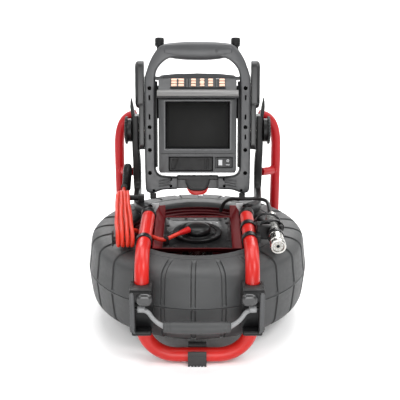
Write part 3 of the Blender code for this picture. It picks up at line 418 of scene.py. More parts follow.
def chamfer(bm, w, seg=2, angle=30.0, M=None):
    """Bevels every edge sharper than the angle."""
    bmesh.ops.recalc_face_normals(bm, faces=bm.faces[:])
    es = [e for e in bm.edges if len(e.link_faces) == 2 and e.calc_face_angle(0) > math.radians(angle)]
    bmesh.ops.bevel(bm, geom=es, offset=w, segments=seg, affect="EDGES", profile=0.5, clamp_overlap=True)
    return bm


def carve(name, base, tools, M, mat, body, bevel=0.0, seg=2, op="DIFFERENCE", joins=(), angle=32.0):
    """A solid less (and plus) other solids, then an edge bevel, as one plain mesh."""
    me = to_mesh(base, name + "_base")
    o = bpy.data.objects.new(name + "_work", me)
    COL.objects.link(o)
    made = [o]
    for kind, group in (("UNION", joins), ("DIFFERENCE", tools)):
        for i, bm in enumerate(group):
            c = bpy.data.objects.new("cut", to_mesh(bm, "cut"))
            COL.objects.link(c)
            made.append(c)
            k = o.modifiers.new("b%d" % i, "BOOLEAN")
            k.operation = kind
            k.object = c
            k.solver = "EXACT"
    if bevel > 0:
        k = o.modifiers.new("bevel", "BEVEL")
        k.width = bevel
        k.segments = seg
        k.limit_method = "ANGLE"
        k.angle_limit = math.radians(30)
        k.use_clamp_overlap = True
    bpy.context.view_layer.update()
    dg = bpy.context.evaluated_depsgraph_get()
    out = bpy.data.meshes.new_from_object(o.evaluated_get(dg))
    for c in made:
        bpy.data.objects.remove(c, do_unlink=True)
    out.name = name
    out.materials.clear()
    if M is not None:
        out.transform(M)
    return obj(out, name, mat, body, angle=angle)


def add(name, bm, M, mat, body, bevel=0.0, seg=2, angle=32.0):
    if bevel > 0:
        chamfer(bm, bevel, seg)
    return obj(to_mesh(bm, name, M), name, mat, body, angle=angle)


def arc(c, r, a0, a1, n):
    return [(c[0] + r * math.cos(math.radians(a0 + (a1 - a0) * k / n)), c[1] + r * math.sin(math.radians(a0 + (a1 - a0) * k / n)))
            for k in range(n + 1)]


def refine(node, mat, width=0.0008, seg=3, name=None, angle=34.0, sharp=30.0):
    """A fine copy of a CAD node: flat faces joined up and every sharp edge rounded."""
    src = frame["nodes"][node]
    bm = bmesh.new()
    bm.from_mesh(src.data)
    bmesh.ops.remove_doubles(bm, verts=bm.verts, dist=2e-6)
    bmesh.ops.dissolve_limit(bm, angle_limit=math.radians(0.8), verts=bm.verts[:], edges=bm.edges[:])
    bmesh.ops.recalc_face_normals(bm, faces=bm.faces[:])
    es = [e for e in bm.edges if len(e.link_faces) == 2 and e.calc_face_angle(0) > math.radians(sharp)]
    if width > 0:
        bmesh.ops.bevel(bm, geom=es, offset=width, segments=seg, affect="EDGES", profile=0.5, clamp_overlap=True)
    me = bpy.data.meshes.new(name or node + "_visual")
    bm.to_mesh(me)
    bm.free()
    o = obj(me, name or node + "_visual", mat, src["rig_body"], angle=angle)
    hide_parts(node)
    return o


def put_many(name, bms, M, mat, body, angle=32.0):
    """Several small solids as one piece."""
    out = bmesh.new()
    for b in bms:
        bmesh.ops.recalc_face_normals(b, faces=b.faces[:])
        me = bpy.data.meshes.new("tmp")
        b.to_mesh(me)
        b.free()
        out.from_mesh(me)
        bpy.data.meshes.remove(me)
    return obj(to_mesh(out, name, M, fix=False), name, mat, body, angle=angle)


def pan_head(r, h, slots=True):
    """Domed screw head with a hexagonal socket, standing on z = 0, towards +Z."""
    seg = 24
    bm = bmesh.new()
    prof = [(r, 0.0), (r, h * 0.45), (r * 0.93, h * 0.78), (r * 0.78, h * 0.95), (r * 0.52, h)]
    rings = [[bm.verts.new((a * math.cos(2 * math.pi * k / seg), a * math.sin(2 * math.pi * k / seg), z)) for k in range(seg)] for a, z in prof]
    hexr = []
    for z in (h, h * 0.35):
        ring = []
        for k in range(seg):
            a = 2 * math.pi * k / seg
            q = (a + math.pi / 6) % (math.pi / 3) - math.pi / 6
            rr = r * 0.40 / math.cos(q)
            ring.append(bm.verts.new((rr * math.cos(a), rr * math.sin(a), z)))
        hexr.append(ring)
    rings += hexr
    for x, y in zip(rings[:-1], rings[1:]):
        for k in range(seg):
            j = (k + 1) % seg
            bm.faces.new((x[k], x[j], y[j], y[k]))
    bm.faces.new(rings[-1])
    bm.faces.new(list(reversed(rings[0])))
    return bm


def placed(bm, M):
    bm.transform(M)
    return bm


# ------------------------------------------------------------------ cords first
CABLE_R, PUSH_R = 0.0038, 0.0036
LEAD_ROUTE = [(-0.0172, -0.0198, 0.0715), (-0.0262, -0.0290, 0.0712), (-0.0420, -0.0400, 0.0690), (-0.0560, -0.0500, 0.0655),
              (-0.0680, -0.0560, 0.0655), (-0.0790, -0.0540, 0.0692), (-0.0870, -0.0500, 0.0708), (-0.0957, -0.0480, 0.0710),
              (-0.1050, -0.0480, 0.0725), (-0.1110, -0.0485, 0.0785), (-0.1148, -0.0490, 0.0855)]
TAIL_ROUTE = [(-0.1470, 0.0762, 0.1105), (-0.1485, 0.0860, 0.1110), (-0.1500, 0.0970, 0.1100), (-0.1505, 0.1080, 0.1090)]
HEAD = Vector((0.1440, -0.1520, 0.0930))
TAIL = Vector((0.1390, -0.0160, 0.1085))
HDIR = (TAIL - HEAD).normalized()
PUSH_ROUTE = [tuple(HEAD + HDIR * 0.1234), tuple(HEAD + HDIR * 0.1354), (0.1350, 0.0220, 0.1135), (0.1200, 0.0440, 0.1110),
              (0.1000, 0.0520, 0.1080), (0.0800, 0.0650, 0.1030), (0.0660, 0.0840, 0.0950), (0.0545, 0.1000, 0.0810), (0.0470, 0.1060, 0.0600)]


def world(p):
    return SHIFT @ Vector(p)


def cord_curve(name, pts, r, mat, body):
    cu = bpy.data.curves.new(name, "CURVE")
    cu.dimensions = "3D"
    cu.bevel_depth = r
    cu.bevel_resolution = 6
    cu.use_fill_caps = True
    sp = cu.splines.new("POLY")
    sp.points.add(len(pts) - 1)
    for p, q in zip(sp.points, pts):
        w = world(q)
        p.co = (w.x, w.y, w.z, 1.0)
    sp.use_smooth = True
    cu.materials.append(mat)
    o = bpy.data.objects.new(name, cu)
    COL.objects.link(o)
    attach(o, body)
    return o


def hank_path():
    """The lead, four turns round the two hooks, then the tail up to the plug."""
    f0, b0 = Vector((-0.1180, 0.0940)), Vector((0.0580, 0.1080))
    d = (b0 - f0).normalized()
    nrm = Vector((-d.y, d.x))
    r = 0.0165 - CABLE_R
    run = (b0 - f0).length
    per = 2 * run + 2 * math.pi * r

    top_sag, low_sag = [-0.0030, 0.0012, -0.0016, 0.0022, -0.0010], [0.0022, -0.0014, 0.0026, -0.0004, 0.0010]

    def at(s, lane):
        """Point at distance s round the stadium, in the given lane across the width."""
        k = int(s / per) % 5
        s = s % per
        if s < run:                        # top run, front to back
            p = f0 + d * s + nrm * (r + top_sag[k] * math.sin(math.pi * s / run) ** 2)
        elif s < run + math.pi * r:        # back bend, down
            a = (s - run) / r
            p = b0 + nrm * r * math.cos(a) + d * r * math.sin(a)
        elif s < 2 * run + math.pi * r:    # bottom run, back to front
            p = b0 - d * (s - run - math.pi * r) - nrm * (r + low_sag[k] * math.sin(math.pi * (s - run - math.pi * r) / run) ** 2)
        else:
            a = (s - 2 * run - math.pi * r) / r
            p = f0 - nrm * r * math.cos(a) - d * r * math.sin(a)
        x = -0.1302 - 0.0150 * (p.x - f0.x) / (b0.x - f0.x)
        q = (p.x - f0.x) / (b0.x - f0.x)
        return Vector((x - 0.0016 + lane * (1.0 - 0.14 * q), p.x, p.y))
    lanes = [0.0147 - i * 0.0098 for i in range(4)]
    s0 = 2 * run + math.pi * r - (0.0 + 0.0690)       # on the bottom run, level with where the lead comes in
    s1 = 3 * per + run - 0.004 + per
    pts = []
    s = s0
    while s < s1:
        turn = (s - s0) / (s1 - s0) * 3.0
        i = min(int(turn), 2)
        f = turn - i
        f = f * f * (3 - 2 * f)
        lane = lanes[i] * (1 - f) + lanes[i + 1] * f
        wob = 0.0006 * math.sin(s * 31.0) + 0.0004 * math.sin(s * 77.0)
        p = at(s, lane + wob)
        pts.append(p)
        s += 0.0035
    return pts


lead_pts = even(LEAD_ROUTE, 0.003)
loops = hank_path()
join_a = even([lead_pts[-2], lead_pts[-1], loops[0].lerp(lead_pts[-1], 0.4) + Vector((0.0, 0.0, -0.0005)), loops[1]], 0.003)
tail_pts = even(TAIL_ROUTE, 0.003)
join_b = even([loops[-3], loops[-1], tail_pts[2], tail_pts[4]], 0.003)
path = lead_pts[:-1] + join_a[3:-1] + loops[2:-1] + join_b[4:-1] + tail_pts[4:]
# a light smoothing so that the joins have no corner
for _ in range(6):
    path = [path[0], path[1]] + [(path[i - 1] + path[i] * 2 + path[i + 1]) / 4 for i in range(2, len(path) - 2)] + [path[-2], path[-1]]
path = resample(path, 0.0034)
system = cord_curve("system_cable", path, CABLE_R, M_CABLE, "frame")
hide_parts("cable_hank", "system_cable_lead", "system_cable_tail")
push_pts = even(PUSH_ROUTE, 0.003)
push = cord_curve("push_cable_visual", list(reversed(push_pts)), PUSH_R, M_PUSH_END, "frame")
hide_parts("push_cable")

# ------------------------------------------------------------------ drum
PHASE = math.radians(-90.0 - 1.92)
NG = 24


def groove_depth(s):
    """Depth of the panel groove at s from its middle: two narrow channels either side of a shallow floor."""
    s = abs(s)
    K = [(0.0, 0.0022), (0.0026, 0.0022), (0.0031, 0.0034), (0.0039, 0.0035), (0.0044, 0.0006), (0.0048, 0.0), (1.0, 0.0)]
    for (a, u), (b, v) in zip(K[:-1], K[1:]):
        if s <= b:
            return u + (v - u) * (s - a) / (b - a)
    return 0.0


def drum_shell(name, outer, inner, start, end, body, node):
    """Turned shell with 24 grooves running from arc length start to end of its outer line."""
    fixed = [0.0, 0.0014, 0.0026, 0.0031, 0.0035, 0.0039, 0.00415, 0.0044, 0.0048, 0.0053]
    P = [Vector((r, z)) for r, z in outer]
    L = [0.0]
    for a, b in zip(P[:-1], P[1:]):
        L.append(L[-1] + (b - a).length)

    def row(p, nrm, depth):
        ring = []
        half = math.pi / NG
        for g in range(NG):
            c = PHASE + 2 * math.pi * g / NG
            ss = [x / p.x for x in fixed]
            top = ss[-1]
            ss += [top + (half - top) * k / 5 for k in range(1, 5)]
            side = [(-a) for a in reversed(ss[1:])] + ss + [half]
            for a in side:
                d = depth(a * p.x) if depth else 0.0
                r, z = p.x - nrm.x * d, p.y - nrm.y * d
                ring.append((r * math.cos(c + a), r * math.sin(c + a), z))
        return ring
    rings = []
    for i, p in enumerate(P):
        t = (P[min(i + 1, len(P) - 1)] - P[max(i - 1, 0)]).normalized()
        nrm = Vector((-t.y, t.x))
        if nrm.x < 0 and nrm.y < 0.2:
            nrm = -nrm
        l = L[i]
        e = min(max((l - start) / 0.005, 0.0), 1.0) * min(max((end - l) / 0.004, 0.0), 1.0)
        seam = min(max((abs(p.y) - 0.0030) / 0.0016, 0.0), 1.0)
        k = e * e * (3 - 2 * e) * seam
        rings.append(row(p, nrm, (lambda s, k=k: groove_depth(s) * k) if k > 0 else None))
    for p in [Vector((r, z)) for r, z in inner]:
        rings.append(row(p, Vector((0, 0)), None))
    bm = skin(rings, caps=False, closed=True)
    o = obj(to_mesh(bm, name, SHIFT), name, M_DRUM, body, angle=38)
    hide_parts(node)
    return o


def fine2(pts, step):
    return [(p.x, p.y) for p in even([(a, b, 0.0) for a, b in pts], step)]


rim = [(0.1330, 0.0600), (0.1330, 0.0640), (0.1333, 0.0664), (0.1341, 0.0682), (0.1354, 0.0692), (0.1372, 0.0696), (0.1430, 0.0700),
       (0.1500, 0.0704), (0.1536, 0.0706), (0.1542, 0.0704), (0.1546, 0.0697), (0.1560, 0.0697), (0.1564, 0.0704), (0.1570, 0.0706)]
shoulder = fine2([(0.1574, 0.0706), (0.1720, 0.0700), (0.1860, 0.0678), (0.1965, 0.0636), (0.2030, 0.0570), (0.2058, 0.0470),
                  (0.2080, 0.0270), (0.2114, 0.0020)], 0.0016)
up = rim + shoulder + [(0.2117, 0.0011), (0.2115, 0.0006), (0.2106, 0.0004)]
up_in = [(0.2082, 0.0004), (0.2045, 0.0250), (0.2022, 0.0470), (0.1990, 0.0545), (0.1940, 0.0600), (0.1850, 0.0640), (0.1720, 0.0662),
         (0.1500, 0.0668), (0.1400, 0.0664), (0.1368, 0.0655), (0.1360, 0.0600)]
rl = sum(math.dist(a, b) for a, b in zip(rim[:-1], rim[1:]))
total = sum(math.dist(a, b) for a, b in zip(up[:-1], up[1:]))
drum_shell("drum_upper", up, up_in, rl + 0.0035, total + 1.0, "drum", "drum_upper_shell")
low_line = [(0.2106, -0.0004), (0.2115, -0.0006), (0.2117, -0.0011)] + fine2([(0.2114, -0.0020), (0.2094, -0.0240), (0.2066, -0.0480),
            (0.2033, -0.0590), (0.1968, -0.0670), (0.1870, -0.0719), (0.1740, -0.0734), (0.1500, -0.0736), (0.1200, -0.0736)], 0.0020) + \
           [(0.0900, -0.0736), (0.0520, -0.0736), (0.0500, -0.0720)]
low_in = [(0.0500, -0.0702), (0.1200, -0.0702), (0.1740, -0.0700), (0.1850, -0.0686), (0.1940, -0.0642), (0.1998, -0.0570), (0.2030, -0.0490),
          (0.2058, -0.0240), (0.2080, -0.0004)]
tl = sum(math.dist(a, b) for a, b in zip(low_line[:-1], low_line[1:]))
drum_shell("drum_lower", low_line, low_in, -1.0, tl - 0.110, "drum", "drum_lower_shell")

# push cable wound in the drum: rows of turns seen through the mouth
rings = []
wound = []
turns = [(0.1420 + 0.0008 * (k % 2), 0.0562 - 0.0075 * k) for k in range(15)] + [(0.1498 + 0.0078 * k, 0.0562 + 0.0012 * (k % 2)) for k in range(6)]
bm = bmesh.new()
for ti, (rr, zz) in enumerate(turns):
    R = []
    for k in range(120):
        a = 2 * math.pi * k / 120
        dr = 0.0006 * math.sin(3 * a + ti * 1.7) + 0.0003 * math.sin(7 * a + ti)
        dz = 0.0007 * math.sin(2 * a + ti * 2.3) + 0.0004 * math.sin(5 * a + ti * 0.7)
        c = Vector(((rr + dr) * math.cos(a), (rr + dr) * math.sin(a), zz + dz))
        e = Vector((math.cos(a), math.sin(a), 0))
        R.append([c + PUSH_R * (math.cos(2 * math.pi * q / 12) * e + math.sin(2 * math.pi * q / 12) * Vector((0, 0, 1))) for q in range(12)])
    part = skin(R, caps=False, closed=True)
    me = bpy.data.meshes.new("tmp")
    part.to_mesh(me)
    part.free()
    bm.from_mesh(me)
    bpy.data.meshes.remove(me)
core = lathe([(0.1460, -0.0620), (0.1900, -0.0620), (0.1980, -0.0480), (0.2015, -0.0200), (0.2015, 0.0200), (0.1950, 0.0460), (0.1850, 0.0530), (0.1460, 0.0530)], 96)
me = bpy.data.meshes.new("tmp")
core.to_mesh(me)
core.free()
bm.from_mesh(me)
bpy.data.meshes.remove(me)
coil = obj(to_mesh(bm, "push_cable_wound", SHIFT), "push_cable_wound", M_PUSH, "drum")
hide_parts("push_cable_coil")
sp = add("drum_spool_visual", lathe([(0.0182, -0.0640), (0.1100, -0.0640), (0.1100, -0.0600), (0.0320, -0.0600), (0.0300, -0.0580), (0.0300, 0.0130), (0.0285, 0.0150),
                                     (0.0182, 0.0150)], 72), SHIFT, M_BLACK, "drum")
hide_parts("drum_spool")

# ------------------------------------------------------------------ tubes and legs
TUBE_R, TUBE_X, TUBE_Y, TUBE_TOP = 0.0127, 0.0965, -0.2062, 0.0895


def front_path():
    c = (TUBE_Y + 0.055, TUBE_TOP - 0.055)
    half = [(-0.0945, 0.0240, TUBE_TOP + 0.0005), (-0.0955, -0.030, TUBE_TOP + 0.0003)]
    half += [(-TUBE_X, y, z) for y, z in arc(c, 0.055, 90, 180, 28)]
    half += [(-TUBE_X, TUBE_Y, -0.031)]
    half += [(x, TUBE_Y, z) for x, z in arc((-TUBE_X + 0.060, -0.0325), 0.060, 183, 270, 28)]
    return half + [(-x, y, z) for x, y, z in reversed(half)]


fp = front_path()
ft = add("front_tube_visual", pipe(fp, TUBE_R, 40), SHIFT, M_RED, "frame", angle=50)
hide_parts("front_tube")

RAIL_X, RAIL_Y, RAIL_R = 0.1652, 0.1950, 0.0100


def bez(p0, p1, p2, p3, n):
    p0, p1, p2, p3 = (Vector(p) for p in (p0, p1, p2, p3))
    return [tuple((1 - t) ** 3 * p0 + 3 * t * (1 - t) ** 2 * p1 + 3 * t * t * (1 - t) * p2 + t ** 3 * p3) for t in (k / n for k in range(n + 1))]


half = [(-0.1272, 0.1787, 0.2462), (-0.1310, 0.1795, 0.2452)]
half += bez((-0.1345, 0.1808, 0.2440), (-0.1540, 0.1890, 0.2360), (-0.1632, 0.1945, 0.2150), (-0.1648, RAIL_Y, 0.1780), 24)
half += [(-RAIL_X, RAIL_Y, 0.1500), (-RAIL_X, RAIL_Y, 0.040), (-RAIL_X, RAIL_Y, -0.034)]
half += [(x, RAIL_Y, z) for x, z in arc((-RAIL_X + 0.060, -0.034), 0.060, 184, 270, 24)]
rp = half + [(-x, y, z) for x, y, z in reversed(half)]
# rear tube, braces and welds take the darker red, which is painted shade
rt = add("rear_tube_visual", pipe(rp, RAIL_R, 36), SHIFT, M_RED_REAR_SHADED, "frame", angle=50)
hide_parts("rear_tube")
for s, nm in ((-1, "left"), (1, "right")):
    bp = [Vector(p) for p in bez((s * 0.1332, 0.1545, 0.1300), (s * 0.1425, 0.1620, 0.1282), (s * 0.1540, 0.1775, 0.1240), (s * 0.1625, 0.1925, 0.1210), 16)]
    add("brace_" + nm, pipe(bp, 0.0083, 28, Vector((0, 0, 1))), SHIFT, M_RED_REAR_SHADED, "frame", angle=50)
    # weld bead where the brace meets the rear tube
    p, t, u, v = frames(bp, Vector((0, 0, 1)))[13]
    bead = [p + (0.0085 + 0.0003 * math.sin(11 * a)) * (math.cos(a) * u + math.sin(a) * v) + t * 0.0005 * math.sin(7 * a)
            for a in (2 * math.pi * k / 48 for k in range(48))]
    R = []
    for k, c in enumerate(bead):
        out = (c - p).normalized()
        rr = 0.0014 + 0.0003 * math.sin(k * 2.3)
        R.append([c + rr * (math.cos(2 * math.pi * q / 8) * out + math.sin(2 * math.pi * q / 8) * t) for q in range(8)])
    add("weld_" + nm, skin(R, caps=False, closed=True), SHIFT, M_RED_REAR_SHADED, "frame")


def round_bar(pts, ws, hs, r=0.0035, up0=Vector((1, 0, 0)), n=4):
    """Bar of rounded-rectangle section along a path, its sizes read along the path."""
    rings = []
    for (p, t, u, v), w, h in zip(frames(pts, up0), ws, hs):
        o = rounded(-w / 2, w / 2, -h / 2, h / 2, min(r, w / 2.2, h / 2.2), n)
        rings.append([p + x * u + y * v for x, y in o])
    return skin(rings)


def along(route, vals, pts):
    """Reads values given at the route's points at the fine points of its curve."""
    P = [Vector(p) for p in route]
    L = [0.0]
    for a, b in zip(P[:-1], P[1:]):
        L.append(L[-1] + (b - a).length)
    n = len(pts) - 1
    out = []
    for i in range(n + 1):
        s = L[-1] * i / n
        j = 0
        while j < len(L) - 2 and L[j + 1] < s:
            j += 1
        f = (s - L[j]) / (L[j + 1] - L[j])
        out.append(vals[j] + (vals[j + 1] - vals[j]) * min(max(f, 0), 1))
    return out


for s, nm in ((-1, "left"), (1, "right")):
    route = [(s * 0.1267, 0.1500, 0.2530), (s * 0.1267, 0.1500, 0.1800), (s * 0.1255, 0.1500, 0.1600), (s * 0.1250, 0.1500, 0.1180),
             (s * 0.1245, 0.1440, 0.1010), (s * 0.1235, 0.1300, 0.0915), (s * 0.1225, 0.1000, 0.0885), (s * 0.1180, 0.0660, 0.0890),
             (s * 0.1040, 0.0430, 0.0895), (s * 0.0962, 0.0318, 0.0897)]
    w = [0.0138, 0.0138, 0.0150, 0.0160, 0.0150, 0.0140, 0.0140, 0.0160, 0.0190, 0.0200]
    h = [0.0200, 0.0280, 0.0280, 0.0280, 0.0270, 0.0240, 0.0220, 0.0220, 0.0230, 0.0230]
    pts = even(route, 0.0035)
    ear = [(s * x, z) for x, z in ((0.1276, 0.2500), (0.1334, 0.2500), (0.1352, 0.2600), (0.1360, 0.2710), (0.1352, 0.2830), (0.1338, 0.2895), (0.1322, 0.2850),
                                   (0.1296, 0.2720), (0.1280, 0.2620))]
    joins = [chamfer(prism(ear, 0.1430, 0.1570, "y"), 0.0008, 2)]
    if s < 0:
        joins += [chamfer(block(-0.1180, -0.1060, 0.0520, 0.0640, 0.0900, 0.1145), 0.0014, 3),
                  placed(lathe([(0, 0.0), (0.0054, 0.0), (0.0054, 0.0512), (0.0046, 0.0520), (0, 0.0520)], 32, "x"), Matrix.Translation((-0.1630, 0.0580, 0.1080)))]
    tools = [lathe([(0, -0.02), (0.0075, -0.02), (0.0075, 0.02), (0, 0.02)], 32, "x")]
    tools[0].transform(Matrix.Translation((s * 0.1267, 0.1500, 0.2210)))
    # shallow pockets on the outer and inner faces leave a rim like an I-section
    for side in (-1, 1):
        pk = prism(rounded(0.1405, 0.1595, 0.1250, 0.1950, 0.004, 4), *sorted((s * 0.1267 + side * 0.0056, s * 0.1267 + side * 0.0200)), "x")
        tools.append(pk)
    leg = carve(nm + "_leg_visual", round_bar(pts, along(route, w, pts), along(route, h, pts)), tools, SHIFT, M_BLACK, "frame",
                joins=joins)
    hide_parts(nm + "_leg")
    # sleeve where the leg takes the end of the tube
    add(nm + "_tube_collar", lathe([(0.0129, -0.006), (0.0142, -0.006), (0.0148, -0.005), (0.0148, 0.0095), (0.0140, 0.0120), (0.0124, 0.0134), (0.0070, 0.0140), (0.0070, 0.0130), (0.0129, 0.0100)], 40, "y"),
        SHIFT @ Matrix.Translation((s * 0.0950, 0.0140, TUBE_TOP + 0.0004)), M_BLACK, "frame")

# feet: ribbed rubber blocks clipped round the ground tubes
def foot(name, x, y, zc, r, w, d, top, node, open_front=False):
    tools = [lathe([(0, -0.03), (r + 0.0003, -0.03), (r + 0.0003, 0.03), (0, 0.03)], 40, "x")]
    tools[0].transform(Matrix.Translation((x, y, zc)))
    for k in range(-2, 3):
        tools.append(block(x + k * w / 5.6 - 0.0012, x + k * w / 5.6 + 0.0012, y - d, y + d, -0.109, -0.1058))
    for sgn in (-1, 1):
        tools.append(block(x - w / 2 - 0.01, x + w / 2 + 0.01, y + sgn * (d / 2 - 0.0004), y + sgn * (d / 2 + 0.01), zc + 0.004, zc + 0.0052))
    if open_front:
        # the clip is open towards the front above the pad, where the tube shows
        tools.append(block(x - w, x + w, y - 0.0148, y + 0.0052, -0.0925, -0.0600))
        tools.append(block(x - w, x + w, y - 0.030, y + 0.0040, -0.0785, -0.0600))
    b = carve(name, block(x - w / 2, x + w / 2, y - d / 2, y + d / 2, -0.1080, top), tools, SHIFT, M_RUBBER, "frame", bevel=0.0012, seg=3)
    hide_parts(node)


foot("front_foot_visual", 0.0, TUBE_Y, -0.0925, TUBE_R, 0.033, 0.035, -0.0762, "front_foot", True)
foot("rear_foot_left_visual", -0.085, RAIL_Y, -0.0940, RAIL_R, 0.030, 0.029, -0.0805, "rear_foot_left")
foot("rear_foot_right_visual", 0.085, RAIL_Y, -0.0940, RAIL_R, 0.030, 0.029, -0.0805, "rear_foot_right")

# ------------------------------------------------------------------ hub: tray, panel, slip ring
TUB_Z = 0.0530
# the tray's very dark red is partly painted shade for the shadow in the mouth
tray = refine("hub_tray", M_DKRED_SHADED, 0.0007, 3)
panel = refine("hub_cover_panel", M_BLACK, 0.0008, 3)
heads = []
for x, y in ((-0.0590, 0.0800), (-0.0235, 0.0800), (0.0155, 0.0800), (0.0570, 0.0800), (-0.0590, 0.0420), (0.0585, 0.0560), (-0.0575, -0.0220),
             (0.0590, -0.0300), (-0.0420, -0.0600), (0.0150, -0.0610), (-0.0560, -0.0605), (0.0560, -0.0605)):
    heads.append(placed(pan_head(0.0034, 0.0018), Matrix.Translation((x, y, 0.0539))))
put_many("hub_panel_screws", heads, SHIFT, M_DARK, "frame")
# raised ribs moulded on the panel, and a low boss round the bore
ribs = [chamfer(block(-0.0600, -0.0585, -0.0560, 0.0740, 0.0539, 0.0548), 0.0004, 2),
        chamfer(block(0.0585, 0.0600, -0.0250, 0.0500, 0.0539, 0.0548), 0.0004, 2),
        chamfer(block(-0.0500, 0.0500, 0.0716, 0.0730, 0.0539, 0.0548), 0.0004, 2),
        lathe([(0.0300, 0.0539), (0.0345, 0.0539), (0.0340, 0.0550), (0.0304, 0.0550)], 64)]
put_many("hub_panel_ribs", ribs, SHIFT, M_BLACK, "frame")
dots = []
for x, y in ((-0.0040, 0.0765), (0.0270, 0.0560), (0.0390, 0.0590)):
    dots.append(chamfer(placed(block(-0.0022, 0.0022, -0.0009, 0.0009, 0.0, 0.0003), Matrix.Translation((x, y, 0.0540))), 0.0001, 1))
put_many("hub_panel_marks", dots, SHIFT, M_LABEL, "frame")
rv = []
for x, y, z in ((-0.0745, 0.0350, 0.0640), (0.0745, 0.0350, 0.0640), (-0.0745, -0.0300, 0.0570), (0.0745, -0.0300, 0.0570)):
    pass

ring = lathe([(0.0172, 0.0422), (0.0172, 0.0562), (0.0200, 0.0568), (0.0250, 0.0577), (0.0256, 0.0588), (0.0300, 0.0590), (0.0306, 0.0580), (0.0372, 0.0586),
              (0.0378, 0.0600), (0.0420, 0.0606), (0.0444, 0.0611), (0.0466, 0.0609), (0.0474, 0.0600), (0.0475, 0.0576), (0.0470, 0.0550),
              (0.0462, 0.0546), (0.0292, 0.0546), (0.0288, 0.0532), (0.0186, 0.0530), (0.0186, 0.0422)], 96)
sr = add("slip_ring_body_visual", ring, SHIFT, M_BLACK, "frame")
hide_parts("slip_ring_body")
lugs = []
for k in range(3):
    a = math.radians(100 + 120 * k)
    lugs.append(chamfer(placed(block(-0.0040, 0.0040, -0.0045, 0.0045, 0.0585, 0.0607), Matrix.Rotation(a, 4, "Z") @ Matrix.Translation((0.0340, 0, 0))), 0.0006, 2))
    lugs.append(placed(pan_head(0.0026, 0.0014), Matrix.Rotation(a, 4, "Z") @ Matrix.Translation((0.0340, 0, 0.0606))))
put_many("slip_ring_lugs", lugs, SHIFT, M_BLACK, "frame")
cp = [(0.0, 0.0426), (0.0163, 0.0426), (0.0165, 0.0430), (0.0165, 0.0564), (0.0185, 0.0572), (0.0236, 0.0590), (0.0250, 0.0600), (0.0259, 0.0620), (0.0262, 0.0640),
      (0.0258, 0.0660), (0.0249, 0.0682), (0.0235, 0.0700), (0.0212, 0.0716), (0.0180, 0.0729), (0.0140, 0.0738), (0.0090, 0.0744), (0.0040, 0.0747), (0.0, 0.0748)]
cap = add("slip_ring_cap_visual", lathe(cp, 72), SHIFT, M_BLACK, "frame")
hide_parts("slip_ring_cap")
# strain relief where the lead leaves the cap, tapered and ringed, lying along the lead
sr_pts = lead_pts[:9]
base = []
F = frames(sr_pts, Vector((0, 0, 1)))
rings = []
n = len(F)
for i, (p, t, u, v) in enumerate(F):
    r = 0.0062 - 0.0018 * i / (n - 1)
    for dr, dt in ((0.0, 0.0), (0.0, 0.0011), (-0.0007, 0.0013), (-0.0007, 0.0024)):
        if i == n - 1 and dt > 0:
            continue
        rings.append([p + t * dt + (r + dr) * (math.cos(2 * math.pi * k / 28) * u + math.sin(2 * math.pi * k / 28) * v) for k in range(28)])
add("lead_strain_relief", skin(rings), SHIFT, M_LEAD, "frame")
refine("lead_clip", M_BLACK, 0.0006, 2)
# gusset plates in flat pale grey, partly a painted reflection standing in for the bright metal
for s, nm in ((-1, "left"), (1, "right")):
    refine(nm + "_gusset_plate", M_GUSSET_SHEEN, 0.0004, 2)

# ------------------------------------------------------------------ axle and bearings
for node in sorted(frame["nodes"]):
    if "axle" in node or "bearing" in node or "collar" in node:
        refine(node, M_STEEL, 0.0006, 2)

